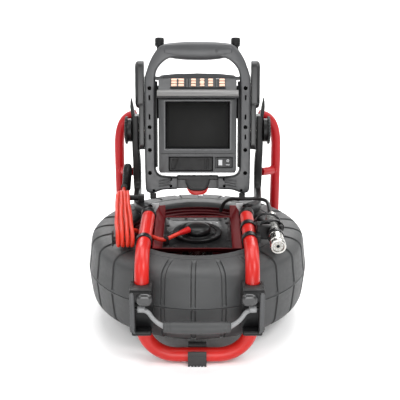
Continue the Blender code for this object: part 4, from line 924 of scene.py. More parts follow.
# ------------------------------------------------------------------ front brackets and handle
for s, nm in ((-1, "left"), (1, "right")):
    cx = s * TUBE_X
    refine(nm + "_handle_bracket", M_BLACK, 0.0012, 3)
    refine(nm + "_handle_pin", M_CASE2, 0.0004, 2)
    # domed cover over the upper half of the bracket, set towards the middle
    y1 = TUBE_Y - 0.0330
    c0 = s * 0.0900
    rings = []
    for k in range(11):
        q = math.radians(90 * k / 10)
        e = 0.0078 * (1 - math.cos(q))
        dy = 0.0068 * math.sin(q)
        rings.append([Vector((x, y1 + 0.0003 - dy, z)) for x, z in rounded(c0 - 0.0142 + e, c0 + 0.0142 - e, 0.0215 + e, 0.0452 - e, 0.0100 - 0.8 * e, 8)])
    add(nm + "_bracket_cover", skin(rings), SHIFT, M_ARM, "frame", angle=60)
    # pale cheek down the outer side
    xo, xi = s * 0.1158, s * 0.1078
    cheek = [(xo, 0.0400), (xo, -0.0200), (s * 0.1140, -0.0275), (s * 0.1100, -0.0320), (s * 0.1062, -0.0322), (s * 0.1086, -0.0260), (xi, -0.0180), (xi, 0.0420),
             (s * 0.1092, 0.0462), (s * 0.1120, 0.0470), (s * 0.1146, 0.0452)]
    add(nm + "_bracket_cheek", chamfer(prism(cheek, y1 - 0.0016, y1 + 0.0004, "y"), 0.0010, 3), SHIFT, M_DOCK, "frame")
    # dark clamp over the top of the bracket, round the tube
    dark = [chamfer(block(cx - 0.0186, cx + 0.0186, y1 + 0.0008, TUBE_Y - 0.0136, 0.0486, 0.0512), 0.0007, 2),
            chamfer(block(cx - 0.0190, cx - 0.0137, TUBE_Y - 0.0140, TUBE_Y + 0.0026, 0.0486, 0.0512), 0.0007, 2),
            chamfer(block(cx + 0.0137, cx + 0.0190, TUBE_Y - 0.0140, TUBE_Y + 0.0026, 0.0486, 0.0512), 0.0007, 2)]
    # screws and a raised rim on the bracket's outer side
    side = []
    for z in (0.0350, -0.0200):
        side.append(placed(pan_head(0.0036, 0.0018), Matrix.Translation((cx + s * 0.0194, y1 + 0.0180, z)) @ Matrix.Rotation(s * math.radians(90), 4, "Y")))
    for y0, y2, z0, z2 in ((0.0050, 0.0310, 0.0420, 0.0436), (0.0050, 0.0310, -0.0286, -0.0270), (0.0050, 0.0066, -0.0286, 0.0436), (0.0294, 0.0310, -0.0286, 0.0436)):
        x0, x1 = sorted((cx + s * 0.0190, cx + s * 0.0204))
        side.append(chamfer(block(x0, x1, y1 + y0, y1 + y2, z0, z2), 0.0005, 2))
    put_many(nm + "_bracket_side_details", side, SHIFT, M_BLACK, "frame")
    # the bracket's foot, rounded over where the tube leaves it
    toe = rounded(y1 + 0.0010, TUBE_Y - 0.0132, -0.0390, -0.0290, 0.0046, 6)
    add(nm + "_bracket_toe", chamfer(prism(toe, cx - 0.0172, cx + 0.0172, "x"), 0.0030, 4), SHIFT, M_BLACK, "frame")
    put_many(nm + "_bracket_clamp", dark, SHIFT, M_DARK, "frame")

hpts = [(-0.0945, 0.0, -0.0022), (-0.0900, -0.0006, -0.0030), (-0.0860, -0.0012, -0.0048), (-0.0825, -0.0020, -0.0080), (-0.0790, -0.0030, -0.0132),
        (-0.0742, -0.0042, -0.0190), (-0.0680, -0.0056, -0.0242), (-0.0605, -0.0068, -0.0283), (-0.0540, -0.0076, -0.0304), (-0.0300, -0.0085, -0.0322), (0.0, -0.0088, -0.0325)]
hw = [0.0080, 0.0084, 0.0084, 0.0082, 0.0080, 0.0080, 0.0082, 0.0090, 0.0120, 0.0160, 0.0170]
hh = [0.0080, 0.0080, 0.0076, 0.0070, 0.0068, 0.0068, 0.0072, 0.0084, 0.0120, 0.0160, 0.0170]
hpts = hpts + [(-x, y, z) for x, y, z in reversed(hpts[:-1])]
hw, hh = hw + list(reversed(hw[:-1])), hh + list(reversed(hh[:-1]))
fine_h = even(hpts, 0.0022)
W, H = along(hpts, hw, fine_h), along(hpts, hh, fine_h)
rings = []
for (p, t, u, v), a, b in zip(frames(fine_h, Vector((0, 1, 0))), H, W):
    rings.append([p + u * (a / 2 * math.cos(2 * math.pi * k / 32)) + v * (b / 2 * math.sin(2 * math.pi * k / 32)) for k in range(32)])
bits = [skin(rings)]
for s in (-1, 1):
    eye = lathe([(0.0036, -0.0064), (0.0054, -0.0066), (0.0064, -0.0058), (0.0067, -0.0044), (0.0067, 0.0044), (0.0064, 0.0058), (0.0054, 0.0066), (0.0036, 0.0064)], 40, "x")
    bits.append(placed(eye, Matrix.Translation((s * TUBE_X, 0, 0))))
hd = put_many("front_handle_visual", bits, PIN, M_HANDLE, "front_handle", angle=40)
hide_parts("front_handle")
# soft grip sleeve on the middle of the handle, swelling towards its middle
rings = []
n = 72
for i in range(n + 1):
    u = -1 + 2 * i / n
    x = 0.0585 * u
    e = min(1.0, (1 - abs(u)) / 0.040)
    e = math.sqrt(max(0.0, 1 - (1 - e) ** 2))
    r = (0.0094 + 0.0015 * (1 - abs(u) ** 3)) * (0.86 + 0.14 * e)
    if 0.80 < abs(u) < 0.84 or 0.88 < abs(u) < 0.92:
        r -= 0.0006
    c = Vector((x, -0.0087 + 0.0007 * u * u, -0.0324 + 0.0012 * u * u))
    rings.append([c + Vector((0, r * math.cos(2 * math.pi * q / 40), r * math.sin(2 * math.pi * q / 40))) for q in range(40)])
add("front_handle_grip", skin(rings), PIN, M_DRUM, "front_handle", angle=50)

# ------------------------------------------------------------------ wrap hooks, plug and boot
hk = carve("lower_wrap_hook_visual", placed(lathe([(0.0131, -0.0064), (0.0146, -0.0064), (0.0154, -0.0056), (0.0154, 0.0056), (0.0146, 0.0064), (0.0131, 0.0064)], 48, "y"),
           Matrix.Translation((-0.0967, -0.1180, 0.0892))), [placed(lathe([(0, -0.03), (0.0131, -0.03), (0.0131, 0.03), (0, 0.03)], 48, "y"), Matrix.Translation((-0.0967, -0.1180, 0.0892)))],
           SHIFT, M_BLACK, "frame",
           joins=[placed(lathe([(0, 0.0), (0.0052, 0.0), (0.0056, 0.0006), (0.0056, 0.0400), (0, 0.0400)], 32, "x"), Matrix.Translation((-0.1530, -0.1180, 0.0940))),
                  placed(chamfer(prism(rounded(-0.0062, 0.0062, -0.0150, 0.0150, 0.0055, 6), -0.0013, 0.0013, "x"), 0.0007, 2), Matrix.Translation((-0.1530, -0.1180, 0.0955)))])
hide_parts("lower_wrap_hook")
boot_p = Vector((-0.1505, 0.1088, 0.1090))
bd = Vector((-0.02, 1.00, -0.06)).normalized()


def aim(p, d):
    return Matrix.Translation(p) @ Vector((0, 0, 1)).rotation_difference(d).to_matrix().to_4x4()


prof = [(0.0, 0.0)]
for i in range(6):
    z = 0.0002 + i * 0.0019
    r = 0.0050 + 0.0018 * i / 5
    prof += [(r, z), (r, z + 0.0011), (r - 0.0008, z + 0.0013), (r - 0.0008, z + 0.0018)]
prof += [(0.0067, 0.0116), (0.0067, 0.0120), (0.0, 0.0120)]
bo = add("plug_boot_visual", lathe(prof, 36), SHIFT @ aim(boot_p, bd), M_RUBBER, "frame")
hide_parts("plug_boot")
pd = Vector((0.09, 0.05, 1.0)).normalized()
pp = boot_p + bd * 0.0124 + Vector((0.0040, 0.0108, 0.0010))
prof = [(0.0, -0.0118), (0.0072, -0.0118), (0.0082, -0.0110), (0.0090, -0.0092), (0.0091, -0.0060)]
for i in range(8):
    z = -0.0048 + i * 0.0026
    prof += [(0.0091, z), (0.0091, z + 0.0014), (0.0085, z + 0.0017), (0.0085, z + 0.0023)]
prof += [(0.0091, 0.0165), (0.0091, 0.0250), (0.0086, 0.0256), (0.0086, 0.0270), (0.0091, 0.0276), (0.0090, 0.0345), (0.0082, 0.0390), (0.0068, 0.0422),
         (0.0045, 0.0444), (0.0020, 0.0453), (0.0, 0.0454)]
pl = add("cable_plug_visual", lathe(prof, 40), SHIFT @ aim(pp, pd), M_BLACK, "frame")
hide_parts("cable_plug")

# ------------------------------------------------------------------ dock
def chaikin(pts, n=2):
    for _ in range(n):
        out = []
        for i in range(len(pts)):
            a, b = Vector(pts[i]), Vector(pts[(i + 1) % len(pts)])
            out += [tuple(a.lerp(b, 0.22)), tuple(a.lerp(b, 0.78))]
        pts = out
    return pts


def taken(o):
    """The mesh of a made piece as a bmesh, the piece itself removed."""
    bm = bmesh.new()
    bm.from_mesh(o.data)
    bpy.data.objects.remove(o, do_unlink=True)
    return bm


L = [(-0.1078, 0.1030), (-0.1078, -0.1150), (-0.1040, -0.1270), (-0.0940, -0.1290), (-0.0850, -0.1270), (-0.0780, -0.1240), (-0.0700, -0.1215), (-0.0440, -0.1205)]
I = [(-0.0440, -0.0950), (-0.0700, -0.0935), (-0.0800, -0.0900), (-0.0850, -0.0820), (-0.0860, -0.0700), (-0.0860, 0.1080), (-0.0820, 0.1230), (-0.0745, 0.1330),
     (-0.0640, 0.1420), (-0.0500, 0.1475)]
T = [(-0.0400, 0.1725), (-0.0660, 0.1735), (-0.0800, 0.1660), (-0.0950, 0.1430), (-0.1055, 0.1130)]
mir = lambda pts: [(-x, z) for x, z in reversed(pts)]
outline = chaikin(L + mir(L) + mir(T) + T)
hole = chaikin([(-x, z) for x, z in I] + list(reversed(I)))
raw = carve("dock_raw", prism(outline, -0.0120, 0.0120, "y"), [prism(hole, -0.03, 0.03, "y")], None, None, None, bevel=0.0042, seg=5)
tools = [chamfer(block(-0.0425, 0.0425, -0.03, 0.0030, -0.1300, -0.0910), 0.0010, 2)]
joins = []
for s in (-1, 1):
    for z in (0.0850, 0.0065, -0.0400, -0.0870):
        tools.append(disc_y(s * 0.0972, z, 0.0042, -0.03, 0.03, 28))
    for z in (0.0660, 0.0270, -0.0135):
        tools.append(prism(rounded(s * 0.0972 - 0.0018, s * 0.0972 + 0.0018, z - 0.0055, z + 0.0055, 0.0017, 5), -0.03, 0.03, "y"))
    for x, z in ((0.0545, -0.1000), (0.0545, -0.1140), (0.0895, -0.1230)):
        tools.append(disc_y(s * x, z, 0.0032, -0.03, 0.03, 24))
    tools.append(placed(lathe([(0, -0.0105), (0.0067, -0.0105), (0.0067, 0.0105), (0, 0.0105)], 28, "x"), Matrix.Translation((s * 0.1040, 0, 0))))
    x0, x1 = sorted((s * 0.0697, s * 0.0895))
    joins.append(chamfer(block(x0, x1, 0.0090, 0.0290, 0.1388, 0.1476), 0.0028, 4))
dock = carve("dock_frame_visual", taken(raw), tools, DOCK, M_DOCK, "dock", joins=joins, angle=36)
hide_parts("dock_frame")
# thick moulded grip between the shoulders
rings = []
n = 64
for i in range(n + 1):
    u = -1 + 2 * i / n
    x = 0.0010 + 0.0700 * u
    k = (1 - abs(u) ** 2.6)
    e = min(1.0, (1 - abs(u)) / 0.045)
    e = 0.80 + 0.20 * math.sqrt(max(0.0, 1 - (1 - e) ** 2))
    hz = (0.0126 + 0.0062 * k) * e
    hy = (0.0128 + 0.0014 * k) * e
    cz = 0.1612 - 0.0016 * k
    ring = []
    for q in range(40):
        a = 2 * math.pi * q / 40
        c, s_ = math.cos(a), math.sin(a)
        ring.append(Vector((x, hy * math.copysign(abs(c) ** 0.80, c), cz + hz * math.copysign(abs(s_) ** 0.86, s_))))
    rings.append(ring)
grip = carve("dock_grip", skin(rings), [disc_y(0.0385, 0.1590, 0.0034, -0.03, -0.0070, 24)], DOCK, M_DOCK, "dock", angle=45)
# channels inside the rails that guide the monitor, and the flutes on the lower web
bits = []
for s in (-1, 1):
    x0, x1 = sorted((s * 0.0816, s * 0.0866))
    bits.append(chamfer(block(x0, x1, -0.0040, 0.0100, -0.0760, 0.0990), 0.0010, 2))
put_many("dock_channels", bits, DOCK, M_CASE2, "dock")
bits = []
for s in (-1, 1):
    for k in range(3):
        c = lathe([(0, -0.013), (0.0016, -0.0125), (0.0022, -0.010), (0.0022, 0.010), (0.0016, 0.0125), (0, 0.013)], 16, "x")
        bits.append(placed(c, Matrix.Translation((s * 0.0670, -0.0110, -0.1010 - 0.0055 * k)) @ Matrix.Rotation(s * math.radians(8), 4, "Y")))
put_many("dock_web_flutes", bits, DOCK, M_DOCK, "dock")
refine("dock_back_plate", M_BLACK, 0.0008, 2)
bits = []
for x, z in ((-0.0920, 0.0310), (0.0920, 0.0310), (-0.0920, 0.0820), (0.0920, 0.0820), (-0.0300, 0.0820), (0.0300, 0.0820)):
    bits.append(placed(pan_head(0.0034, 0.0018), Matrix.Translation((x, 0.0162, z)) @ Matrix.Rotation(math.radians(-90), 4, "X")))
for z in (0.0420, 0.0500, 0.0580, 0.0660):
    bits.append(chamfer(block(-0.0780, 0.0780, 0.0161, 0.0172, z - 0.0009, z + 0.0009), 0.0004, 2))
put_many("back_plate_ribs", bits, DOCK, M_BLACK, "dock")
for s, nm in ((-1, "left"), (1, "right")):
    # slim lower strap with a thick, round-shouldered head above the leg
    lo = chamfer(prism(rounded(-0.0140, 0.0140, -0.0400, 0.0620, 0.0138, 10), min(s * 0.1083, s * 0.1189), max(s * 0.1083, s * 0.1189), "x"), 0.0016, 3)
    rings = []
    for x, e in ((0.1083, 0.0016), (0.1086, 0.0009), (0.1092, 0.0003), (0.1100, 0.0), (0.1195, 0.0), (0.1206, 0.0001), (0.1218, 0.0006), (0.1230, 0.0014),
                 (0.1241, 0.0025), (0.1250, 0.0038), (0.1258, 0.0054), (0.1264, 0.0072), (0.1267, 0.0092)):
        rings.append([Vector((s * x, y, z)) for y, z in rounded(-0.0140 + e, 0.0140 - e, 0.0442 + e, 0.1403 - e, 0.0138 - e, 10)])
    ar = carve(nm + "_dock_arm_visual", skin(rings), [placed(lathe([(0, -0.02), (0.0067, -0.02), (0.0067, 0.02), (0, 0.02)], 32, "x"), Matrix.Translation((s * 0.1140, 0, 0)))],
               DOCK, M_ARM2, "dock", joins=[lo], angle=40)
    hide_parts(nm + "_dock_arm")
    refine(nm + "_pivot_bolt", M_STEEL, 0.0006, 2)
    # turned cap on its neck
    prof = [(0, 0.0), (0.0074, 0.0), (0.0075, 0.0010), (0.0068, 0.0110), (0.0064, 0.0150), (0.0061, 0.0200), (0.0068, 0.0206), (0.0084, 0.0213), (0.0092, 0.0228),
            (0.0096, 0.0250), (0.0096, 0.0280), (0.0092, 0.0284), (0.0092, 0.0292), (0.0096, 0.0296), (0.0096, 0.0352), (0.0090, 0.0374), (0.0078, 0.0388),
            (0.0050, 0.0394), (0, 0.0395)]
    c = add(nm + "_cap_post_visual", lathe(prof, 40), DOCK @ Matrix.Translation((s * 0.0775, 0.0205, 0.1480)), M_BLACK, "dock")
    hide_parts(nm + "_cap_post")
    prof = [(0, -0.0115), (0.0050, -0.0115), (0.0058, -0.0108), (0.0065, -0.0090), (0.0065, -0.0064), (0.0060, -0.0060), (0.0060, -0.0052), (0.0065, -0.0048),
            (0.0065, 0.0), (0, 0.0)]
    c = add(nm + "_dock_foot_visual", lathe(prof, 36), DOCK @ Matrix.Translation((s * 0.0915, 0.0, -0.1297)), M_RUBBER, "dock")
    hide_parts(nm + "_dock_foot")
    # clamp knob: fluted rim, recessed face and a washer
    prof = [(0.0067, -0.0065), (0.0232, -0.0065), (0.0240, -0.0058), (0.0240, 0.0008), (0.0244, 0.0014), (0.0278, 0.0018), (0.0285, 0.0025), (0.0285, 0.0050),
            (0.0279, 0.0062), (0.0262, 0.0070), (0.0215, 0.0070), (0.0205, 0.0062), (0.0200, 0.0052), (0.0120, 0.0050), (0.0110, 0.0056), (0.0104, 0.0068), (0, 0.0070),
            (0, 0.0002), (0.0067, 0.0002)]
    kb = bmesh.new()
    seg = 144
    K = []
    for r, z in prof:
        if r == 0:
            K.append([kb.verts.new((0, 0, s * z))])
            continue
        row = []
        for k in range(seg):
            a = 2 * math.pi * k / seg
            flute = (0.5 + 0.5 * math.cos(24 * a)) ** 2
            rr = r - (0.0012 * flute if r > 0.0260 else 0.0)
            row.append(kb.verts.new((rr * math.cos(a), rr * math.sin(a), s * z)))
        K.append(row)
    for a, b in zip(K, K[1:] + K[:1]):
        if len(a) == 1 and len(b) == 1:
            continue
        for k in range(seg):
            j = (k + 1) % seg
            if len(a) == 1:
                kb.faces.new((a[0], b[j], b[k]))
            elif len(b) == 1:
                kb.faces.new((a[k], a[j], b[0]))
            else:
                kb.faces.new((a[k], a[j], b[j], b[k]))
    kb.transform(Matrix.Rotation(math.radians(90), 4, "Y"))
    kb.transform(Matrix.Translation((s * 0.1405, 0.1500, 0.2210)))
    kn = add(nm + "_clamp_knob_visual", kb, SHIFT, M_BLACK, nm + "_knob", angle=40)
    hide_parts(nm + "_clamp_knob")
# latch block: a plate across the web with a round-bottomed bib below it
bib = [(0.0420, -0.1000), (0.0420, -0.0915), (-0.0420, -0.0915), (-0.0420, -0.1000)]
low = [(-0.0248, -0.1000), (-0.0244, -0.1060), (-0.0224, -0.1120), (-0.0188, -0.1176), (-0.0140, -0.1210), (-0.0080, -0.1222), (0.0, -0.1225), (0.0080, -0.1222),
       (0.0140, -0.1210), (0.0188, -0.1176), (0.0224, -0.1120), (0.0244, -0.1060), (0.0248, -0.1000)]
lb = carve("latch_block_visual", chamfer(prism(low + bib, -0.0200, 0.0027, "y"), 0.0012, 3),
           [prism(rounded(-0.0150, 0.0150, -0.1150, -0.1035, 0.0040, 6), -0.0300, -0.0192, "y")] +
           [block(s * 0.0330 - 0.0016, s * 0.0330 + 0.0016, -0.03, -0.0190, -0.0980, -0.0935) for s in (-1, 1)],
           DOCK, M_BLACK, "dock")
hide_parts("latch_block")
cres = [(-0.0212, -0.1158), (-0.0198, -0.1180), (-0.0148, -0.1216), (-0.0082, -0.1228), (0.0, -0.1231), (0.0082, -0.1228), (0.0148, -0.1216), (0.0198, -0.1180),
        (0.0212, -0.1158), (0.0216, -0.1176), (0.0206, -0.1214), (0.0176, -0.1262), (0.0130, -0.1298), (0.0070, -0.1313), (0.0, -0.1315), (-0.0070, -0.1313),
        (-0.0130, -0.1298), (-0.0176, -0.1262), (-0.0206, -0.1214), (-0.0216, -0.1176)]
lr = add("latch_release_visual", chamfer(prism(cres, -0.0170, 0.0020, "y"), 0.0005, 2), DOCK, M_RED, "latch_button")
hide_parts("latch_release")
# near-black plugs deep in the dock's holes: painted shade for the dark inside the holes
hole_shade_bits = []
for s in (-1, 1):
    for x, z, r in ((0.0972, 0.0850, 0.0041), (0.0972, 0.0065, 0.0041), (0.0972, -0.0400, 0.0041), (0.0972, -0.0870, 0.0041), (0.0545, -0.1000, 0.0031),
                    (0.0545, -0.1140, 0.0031), (0.0895, -0.1230, 0.0031)):
        hole_shade_bits.append(placed(lathe([(0, 0.0), (r, 0.0), (r, 0.0060), (r * 0.7, 0.0066), (0, 0.0062)], 20), Matrix.Translation((s * x, 0.0030, z)) @ Matrix.Rotation(math.radians(90), 4, "X")))
    for z in (0.0660, 0.0270, -0.0135):
        hole_shade_bits.append(prism(rounded(s * 0.0972 - 0.0017, s * 0.0972 + 0.0017, z - 0.0054, z + 0.0054, 0.0015, 2), -0.0030, 0.0030, "y"))
hole_shade_bits.append(placed(lathe([(0, 0.0), (0.0033, 0.0), (0.0033, 0.0060), (0, 0.0062)], 20), Matrix.Translation((0.0385, -0.0040, 0.1590)) @ Matrix.Rotation(math.radians(90), 4, "X")))
put_many("dock_hole_painted_shade", hole_shade_bits, DOCK, M_HOLE, "dock")

# ------------------------------------------------------------------ monitor
refine("monitor_rear_case", M_CASE, 0.0016, 3)
refine("monitor_bezel", M_CASE, 0.0011, 3)
refine("keypad_housing", M_CASE, 0.0010, 3)
# pale strip along the visor's top: its light colour is a painted highlight where the top face catches the light
prof = [(-0.0460, 0.0822), (-0.0492, 0.0816), (-0.0530, 0.0798), (-0.0552, 0.0772), (-0.0562, 0.0742), (-0.0562, 0.0712), (-0.0554, 0.0698), (-0.0538, 0.0700), (-0.0500, 0.0716), (-0.0460, 0.0735)]
add("visor_top_painted_highlight", chamfer(prism(prof, -0.0800, 0.0810, "x"), 0.0003, 2), DOCK, M_VISOR_HIGHLIGHT, "monitor")
refine("circuit_board", M_PCB, 0.0002, 1)
refine("display_panel", M_CASE2, 0.0004, 1)
glass = refine("screen_glass", M_GLASS, 0.0004, 2)
# light frame line round the screen, as a thin raised moulding
o1 = rounded(-0.0672, 0.0677, -0.0387, 0.0617, 0.0020, 5)
o2 = rounded(-0.0655, 0.0660, -0.0370, 0.0600, 0.0015, 5)
fl = bmesh.new()
V = [[fl.verts.new((x, y, z)) for x, z in o] for o, y in ((o1, -0.0329), (o1, -0.0336), (o2, -0.0336), (o2, -0.0329))]
for i in range(4):
    a, b = V[i], V[(i + 1) % 4]
    for k in range(len(a)):
        j = (k + 1) % len(a)
        fl.faces.new((a[k], a[j], b[j], b[k]))
add("screen_frame_line", fl, DOCK, M_FRAMELINE, "monitor")
# dark lip inside the window
lp = bmesh.new()
oa = rounded(-0.0640, 0.0645, -0.0355, 0.0585, 0.0015, 5)
ob = rounded(-0.0615, 0.0620, -0.0330, 0.0560, 0.0012, 5)
V = [[lp.verts.new((x, y, z)) for x, z in o] for o, y in ((oa, -0.0318), (ob, -0.0248), (ob, -0.0241), (oa, -0.0241))]
for i in range(4):
    a, b = V[i], V[(i + 1) % 4]
    for k in range(len(a)):
        j = (k + 1) % len(a)
        lp.faces.new((a[k], a[j], b[j], b[k]))
add("screen_inner_lip", lp, DOCK, M_CASE2, "monitor")
# divider moulding under the screen, and tabs at the top corners
bits = [chamfer(block(-0.0750, 0.0750, -0.0337, -0.0326, -0.0457, -0.0445), 0.0004, 2)]
put_many("bezel_divider", bits, DOCK, M_CASE2, "monitor")
bits = []
for s in (-1, 1):
    x0, x1 = sorted((s * 0.0700, s * 0.0850))
    bits.append(chamfer(block(x0, x1, -0.0170, -0.0080, 0.1010, 0.1085), 0.0014, 3))
put_many("case_corner_tabs", bits, DOCK, M_CASE, "monitor")

# keypad: the pad, then the keys, dividers and light bars, each set joined as one piece
KP = DOCK @ Matrix.Translation((0.0, -0.0310, 0.09425)) @ Matrix.Rotation(-math.atan2(0.0180, 0.0205), 4, "X")
pad = refine("keypad", M_CASE2, 0.0003, 1)


def key(x, z, w, h, r=0.0012, t=0.0017):
    b = prism(rounded(x - w / 2, x + w / 2, z - h / 2, z + h / 2, r, 4), -0.0027 - t, -0.0024, "y")
    return chamfer(b, 0.0005, 2)


ks = []
for z in (0.0072, 0.0, -0.0072):
    for x, w_ in ((-0.0468, 0.0108), (-0.0325, 0.0108), (-0.0080, 0.0092), (0.0262, 0.0092), (0.0490, 0.0108)):
        ks.append(key(x, z, w_, 0.0050))
for z in (0.0078, -0.0078):
    ks.append(key(0.0092, z, 0.0088, 0.0036))
ks.append(chamfer(placed(lathe([(0, 0), (0.0048, 0), (0.0048, 0.0019), (0.0038, 0.0025), (0, 0.0026)], 32), Matrix.Translation((0.0092, -0.0026, 0.0)) @
                         Matrix.Rotation(math.radians(90), 4, "X")), 0.0002, 1))
put_many("keypad_keys", ks, KP, M_KEY, "monitor")
bars = [key(x, 0.0102, 0.0060, 0.0013, 0.0005, 0.0006) for x in (-0.0400, 0.0092, 0.0400)]
seps = [chamfer(placed(block(-0.0006, 0.0006, -0.0033, -0.0024, -0.0112, 0.0112), Matrix.Translation((x, 0, 0))), 0.0002, 1) for x in (-0.0235, -0.0178, 0.0352, 0.0408)]
put_many("keypad_dividers", seps, KP, M_HOLE, "monitor")
put_many("keypad_light_bars", bars, KP, M_LABEL, "monitor")

# battery with a slanted finger scoop, and the port cover with its marks
bat = carve("battery_pack_visual", chamfer(block(-0.0572, 0.0302, -0.0300, 0.0074, -0.0802, -0.0528), 0.0012, 3),
            [prism([(-0.0500, -0.0560), (-0.0380, -0.0560), (-0.0460, -0.0770), (-0.0540, -0.0770)], -0.05, -0.0245, "y")] +
            [block(x - 0.0007, x + 0.0007, -0.05, -0.0292, -0.0770, -0.0560) for x in (0.0150, 0.0185, 0.0220)],
            DOCK, M_DARK, "battery", bevel=0.0005, seg=2)
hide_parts("battery_pack")
pc = refine("port_cover", M_CASE2, 0.0006, 2)
pm = [chamfer(block(0.0422, 0.0498, -0.0329, -0.0322, -0.0692, -0.0582), 0.0002, 1)]
put_many("port_cover_mark", pm, DOCK, M_LABEL, "port_cover")
pm = [placed(lathe([(0.0016, 0.0), (0.0026, 0.0), (0.0026, 0.0005), (0.0016, 0.0005)], 24), Matrix.Translation((0.0610, -0.0323, -0.0600)) @ Matrix.Rotation(math.radians(90), 4, "X")),
      chamfer(block(0.0570, 0.0650, -0.0328, -0.0322, -0.0690, -0.0678), 0.0002, 1)]
put_many("port_cover_symbols", pm, DOCK, M_LABEL, "port_cover")

# ------------------------------------------------------------------ camera head, spring, clip
hp = [(0.0104, 0.0100), (0.0104, 0.0004), (0.0110, 0.0), (0.0128, 0.0), (0.0137, 0.0004), (0.0144, 0.0012), (0.0145, 0.0024), (0.0145, 0.0078), (0.0141, 0.0088),
      (0.0126, 0.0092), (0.0124, 0.0100), (0.0124, 0.0118), (0.0127, 0.0124), (0.0138, 0.0128), (0.0140, 0.0134), (0.0140, 0.0158), (0.0137, 0.0164), (0.0132, 0.0170),
      (0.0131, 0.0180), (0.0131, 0.0330), (0.0127, 0.0334), (0.0127, 0.0350), (0.0131, 0.0354), (0.0131, 0.0436), (0.0129, 0.0446), (0.0126, 0.0470), (0.0124, 0.0500),
      (0.0042, 0.0500), (0.0042, 0.0100)]
ch = add("camera_head_visual", lathe(hp, 72), SHIFT @ aim(HEAD, HDIR), M_STEEL, "frame")
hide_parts("camera_head")
wp = [(0, 0.0030), (0.0030, 0.0030), (0.0034, 0.0022), (0.0042, 0.0020), (0.0050, 0.0020), (0.0054, 0.0024), (0.0096, 0.0024), (0.0101, 0.0020), (0.0101, 0.0096), (0, 0.0096)]
cw = add("camera_window_visual", lathe(wp, 56), SHIFT @ aim(HEAD, HDIR), M_FACE, "frame")
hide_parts("camera_window")
lens = add("camera_lens", lathe([(0, 0.0024), (0.0012, 0.0022), (0.0026, 0.0023), (0.0032, 0.0026), (0.0032, 0.0036), (0, 0.0036)], 40), SHIFT @ aim(HEAD, HDIR), M_LENS,
           "frame")
leds = []
for k in range(8):
    a = 2 * math.pi * (k + 0.5) / 8
    leds.append(placed(lathe([(0, 0.0014), (0.0009, 0.0015), (0.0013, 0.0019), (0.0013, 0.0025), (0, 0.0025)], 16), Matrix.Translation((0.0076 * math.cos(a), 0.0076 * math.sin(a), 0))))
put_many("camera_leds", leds, SHIFT @ aim(HEAD, HDIR), M_LABEL, "frame")
# spring: a close-wound coil on a core, tapering to its ferrule
wire = 0.0013
z0, z1 = 0.0518, 0.1040
turns = int((z1 - z0) / (2 * wire + 0.0002))
pts = []
for k in range(turns * 28 + 1):
    a = 2 * math.pi * k / 28
    z = z0 + (z1 - z0) * k / (turns * 28)
    pts.append(Vector(((0.0118 - wire) * math.cos(a), (0.0118 - wire) * math.sin(a), z)))
R = []
for k, p in enumerate(pts):
    t = (pts[min(k + 1, len(pts) - 1)] - pts[max(k - 1, 0)]).normalized()
    u = Vector((p.x, p.y, 0)).normalized()
    v = t.cross(u)
    R.append([p + wire * (math.cos(2 * math.pi * q / 8) * u + math.sin(2 * math.pi * q / 8) * v) for q in range(8)])
spg = add("camera_spring_visual", skin(R), SHIFT @ aim(HEAD, HDIR), M_SPRING, "frame", angle=60)
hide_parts("camera_spring")
core = [(0, 0.0503), (0.0112, 0.0503), (0.0117, 0.0508), (0.0117, 0.0514), (0.0092, 0.0518), (0.0092, 0.1042), (0.0117, 0.1046), (0.0117, 0.1052), (0.0110, 0.1062), (0.0096, 0.1082),
        (0.0095, 0.1120), (0.0090, 0.1124), (0.0090, 0.1134), (0.0095, 0.1138), (0.0095, 0.1178), (0.0080, 0.1202), (0.0062, 0.1226), (0.0058, 0.1230), (0, 0.1230)]
add("camera_spring_core", lathe(core, 48), SHIFT @ aim(HEAD, HDIR), M_STEEL, "frame")
refine("camera_clip", M_BLACK, 0.0012, 3)


def band(name, path, r, w, th, body, mat, M=SHIFT, spread=2 * math.pi, a0=0.0, at=None, d=None, seg=56):
    """Flat band round an axis at a point, of width w along the axis."""
    T = aim(at, d)
    closed = spread > 6.2
    prof = [(0.0, -w / 2), (th * 0.7, -w / 2), (th, -w / 2 + 0.0004), (th, w / 2 - 0.0004), (th * 0.7, w / 2), (0.0, w / 2)]
    rings = []
    n = seg if closed else seg + 1
    for k in range(n):
        a = a0 + spread * k / seg
        rings.append([Vector(((r + h) * math.cos(a), (r + h) * math.sin(a), z)) for h, z in prof])
    b = skin(rings, caps=not closed, closed=closed)
    b.transform(T)
    return add(name, b, M, mat, body)


# two black straps over the camera and two bands round the tube, with their tail
band("camera_strap_rear", None, 0.01215, 0.0085, 0.0013, "frame", M_BLACK, at=HEAD + HDIR * 0.0780, d=HDIR)
band("camera_strap_front", None, 0.01335, 0.0080, 0.0013, "frame", M_BLACK, at=HEAD + HDIR * 0.0400, d=HDIR)

loop = even([(0.1080, -0.0900, 0.1010), (0.1180, -0.0930, 0.1150), (0.1320, -0.0905, 0.1195), (0.1470, -0.0870, 0.1180), (0.1570, -0.0840, 0.1080), (0.1560, -0.0820, 0.0960),
             (0.1460, -0.0810, 0.0880)], 0.002)
add("camera_strap_loop", round_bar(loop, [0.0074] * len(loop), [0.0020] * len(loop), 0.0007, Vector((0, 1, 0)), 3), SHIFT, M_BLACK, "frame")
loop = even([(0.1060, -0.0560, 0.1030), (0.1160, -0.0600, 0.1170), (0.1290, -0.0640, 0.1215), (0.1430, -0.0640, 0.1190), (0.1530, -0.0620, 0.1100), (0.1520, -0.0600, 0.0985)], 0.002)
add("camera_strap_tail", round_bar(loop, [0.0062] * len(loop), [0.0018] * len(loop), 0.0006, Vector((0, 1, 0)), 3), SHIFT, M_BLACK, "frame")

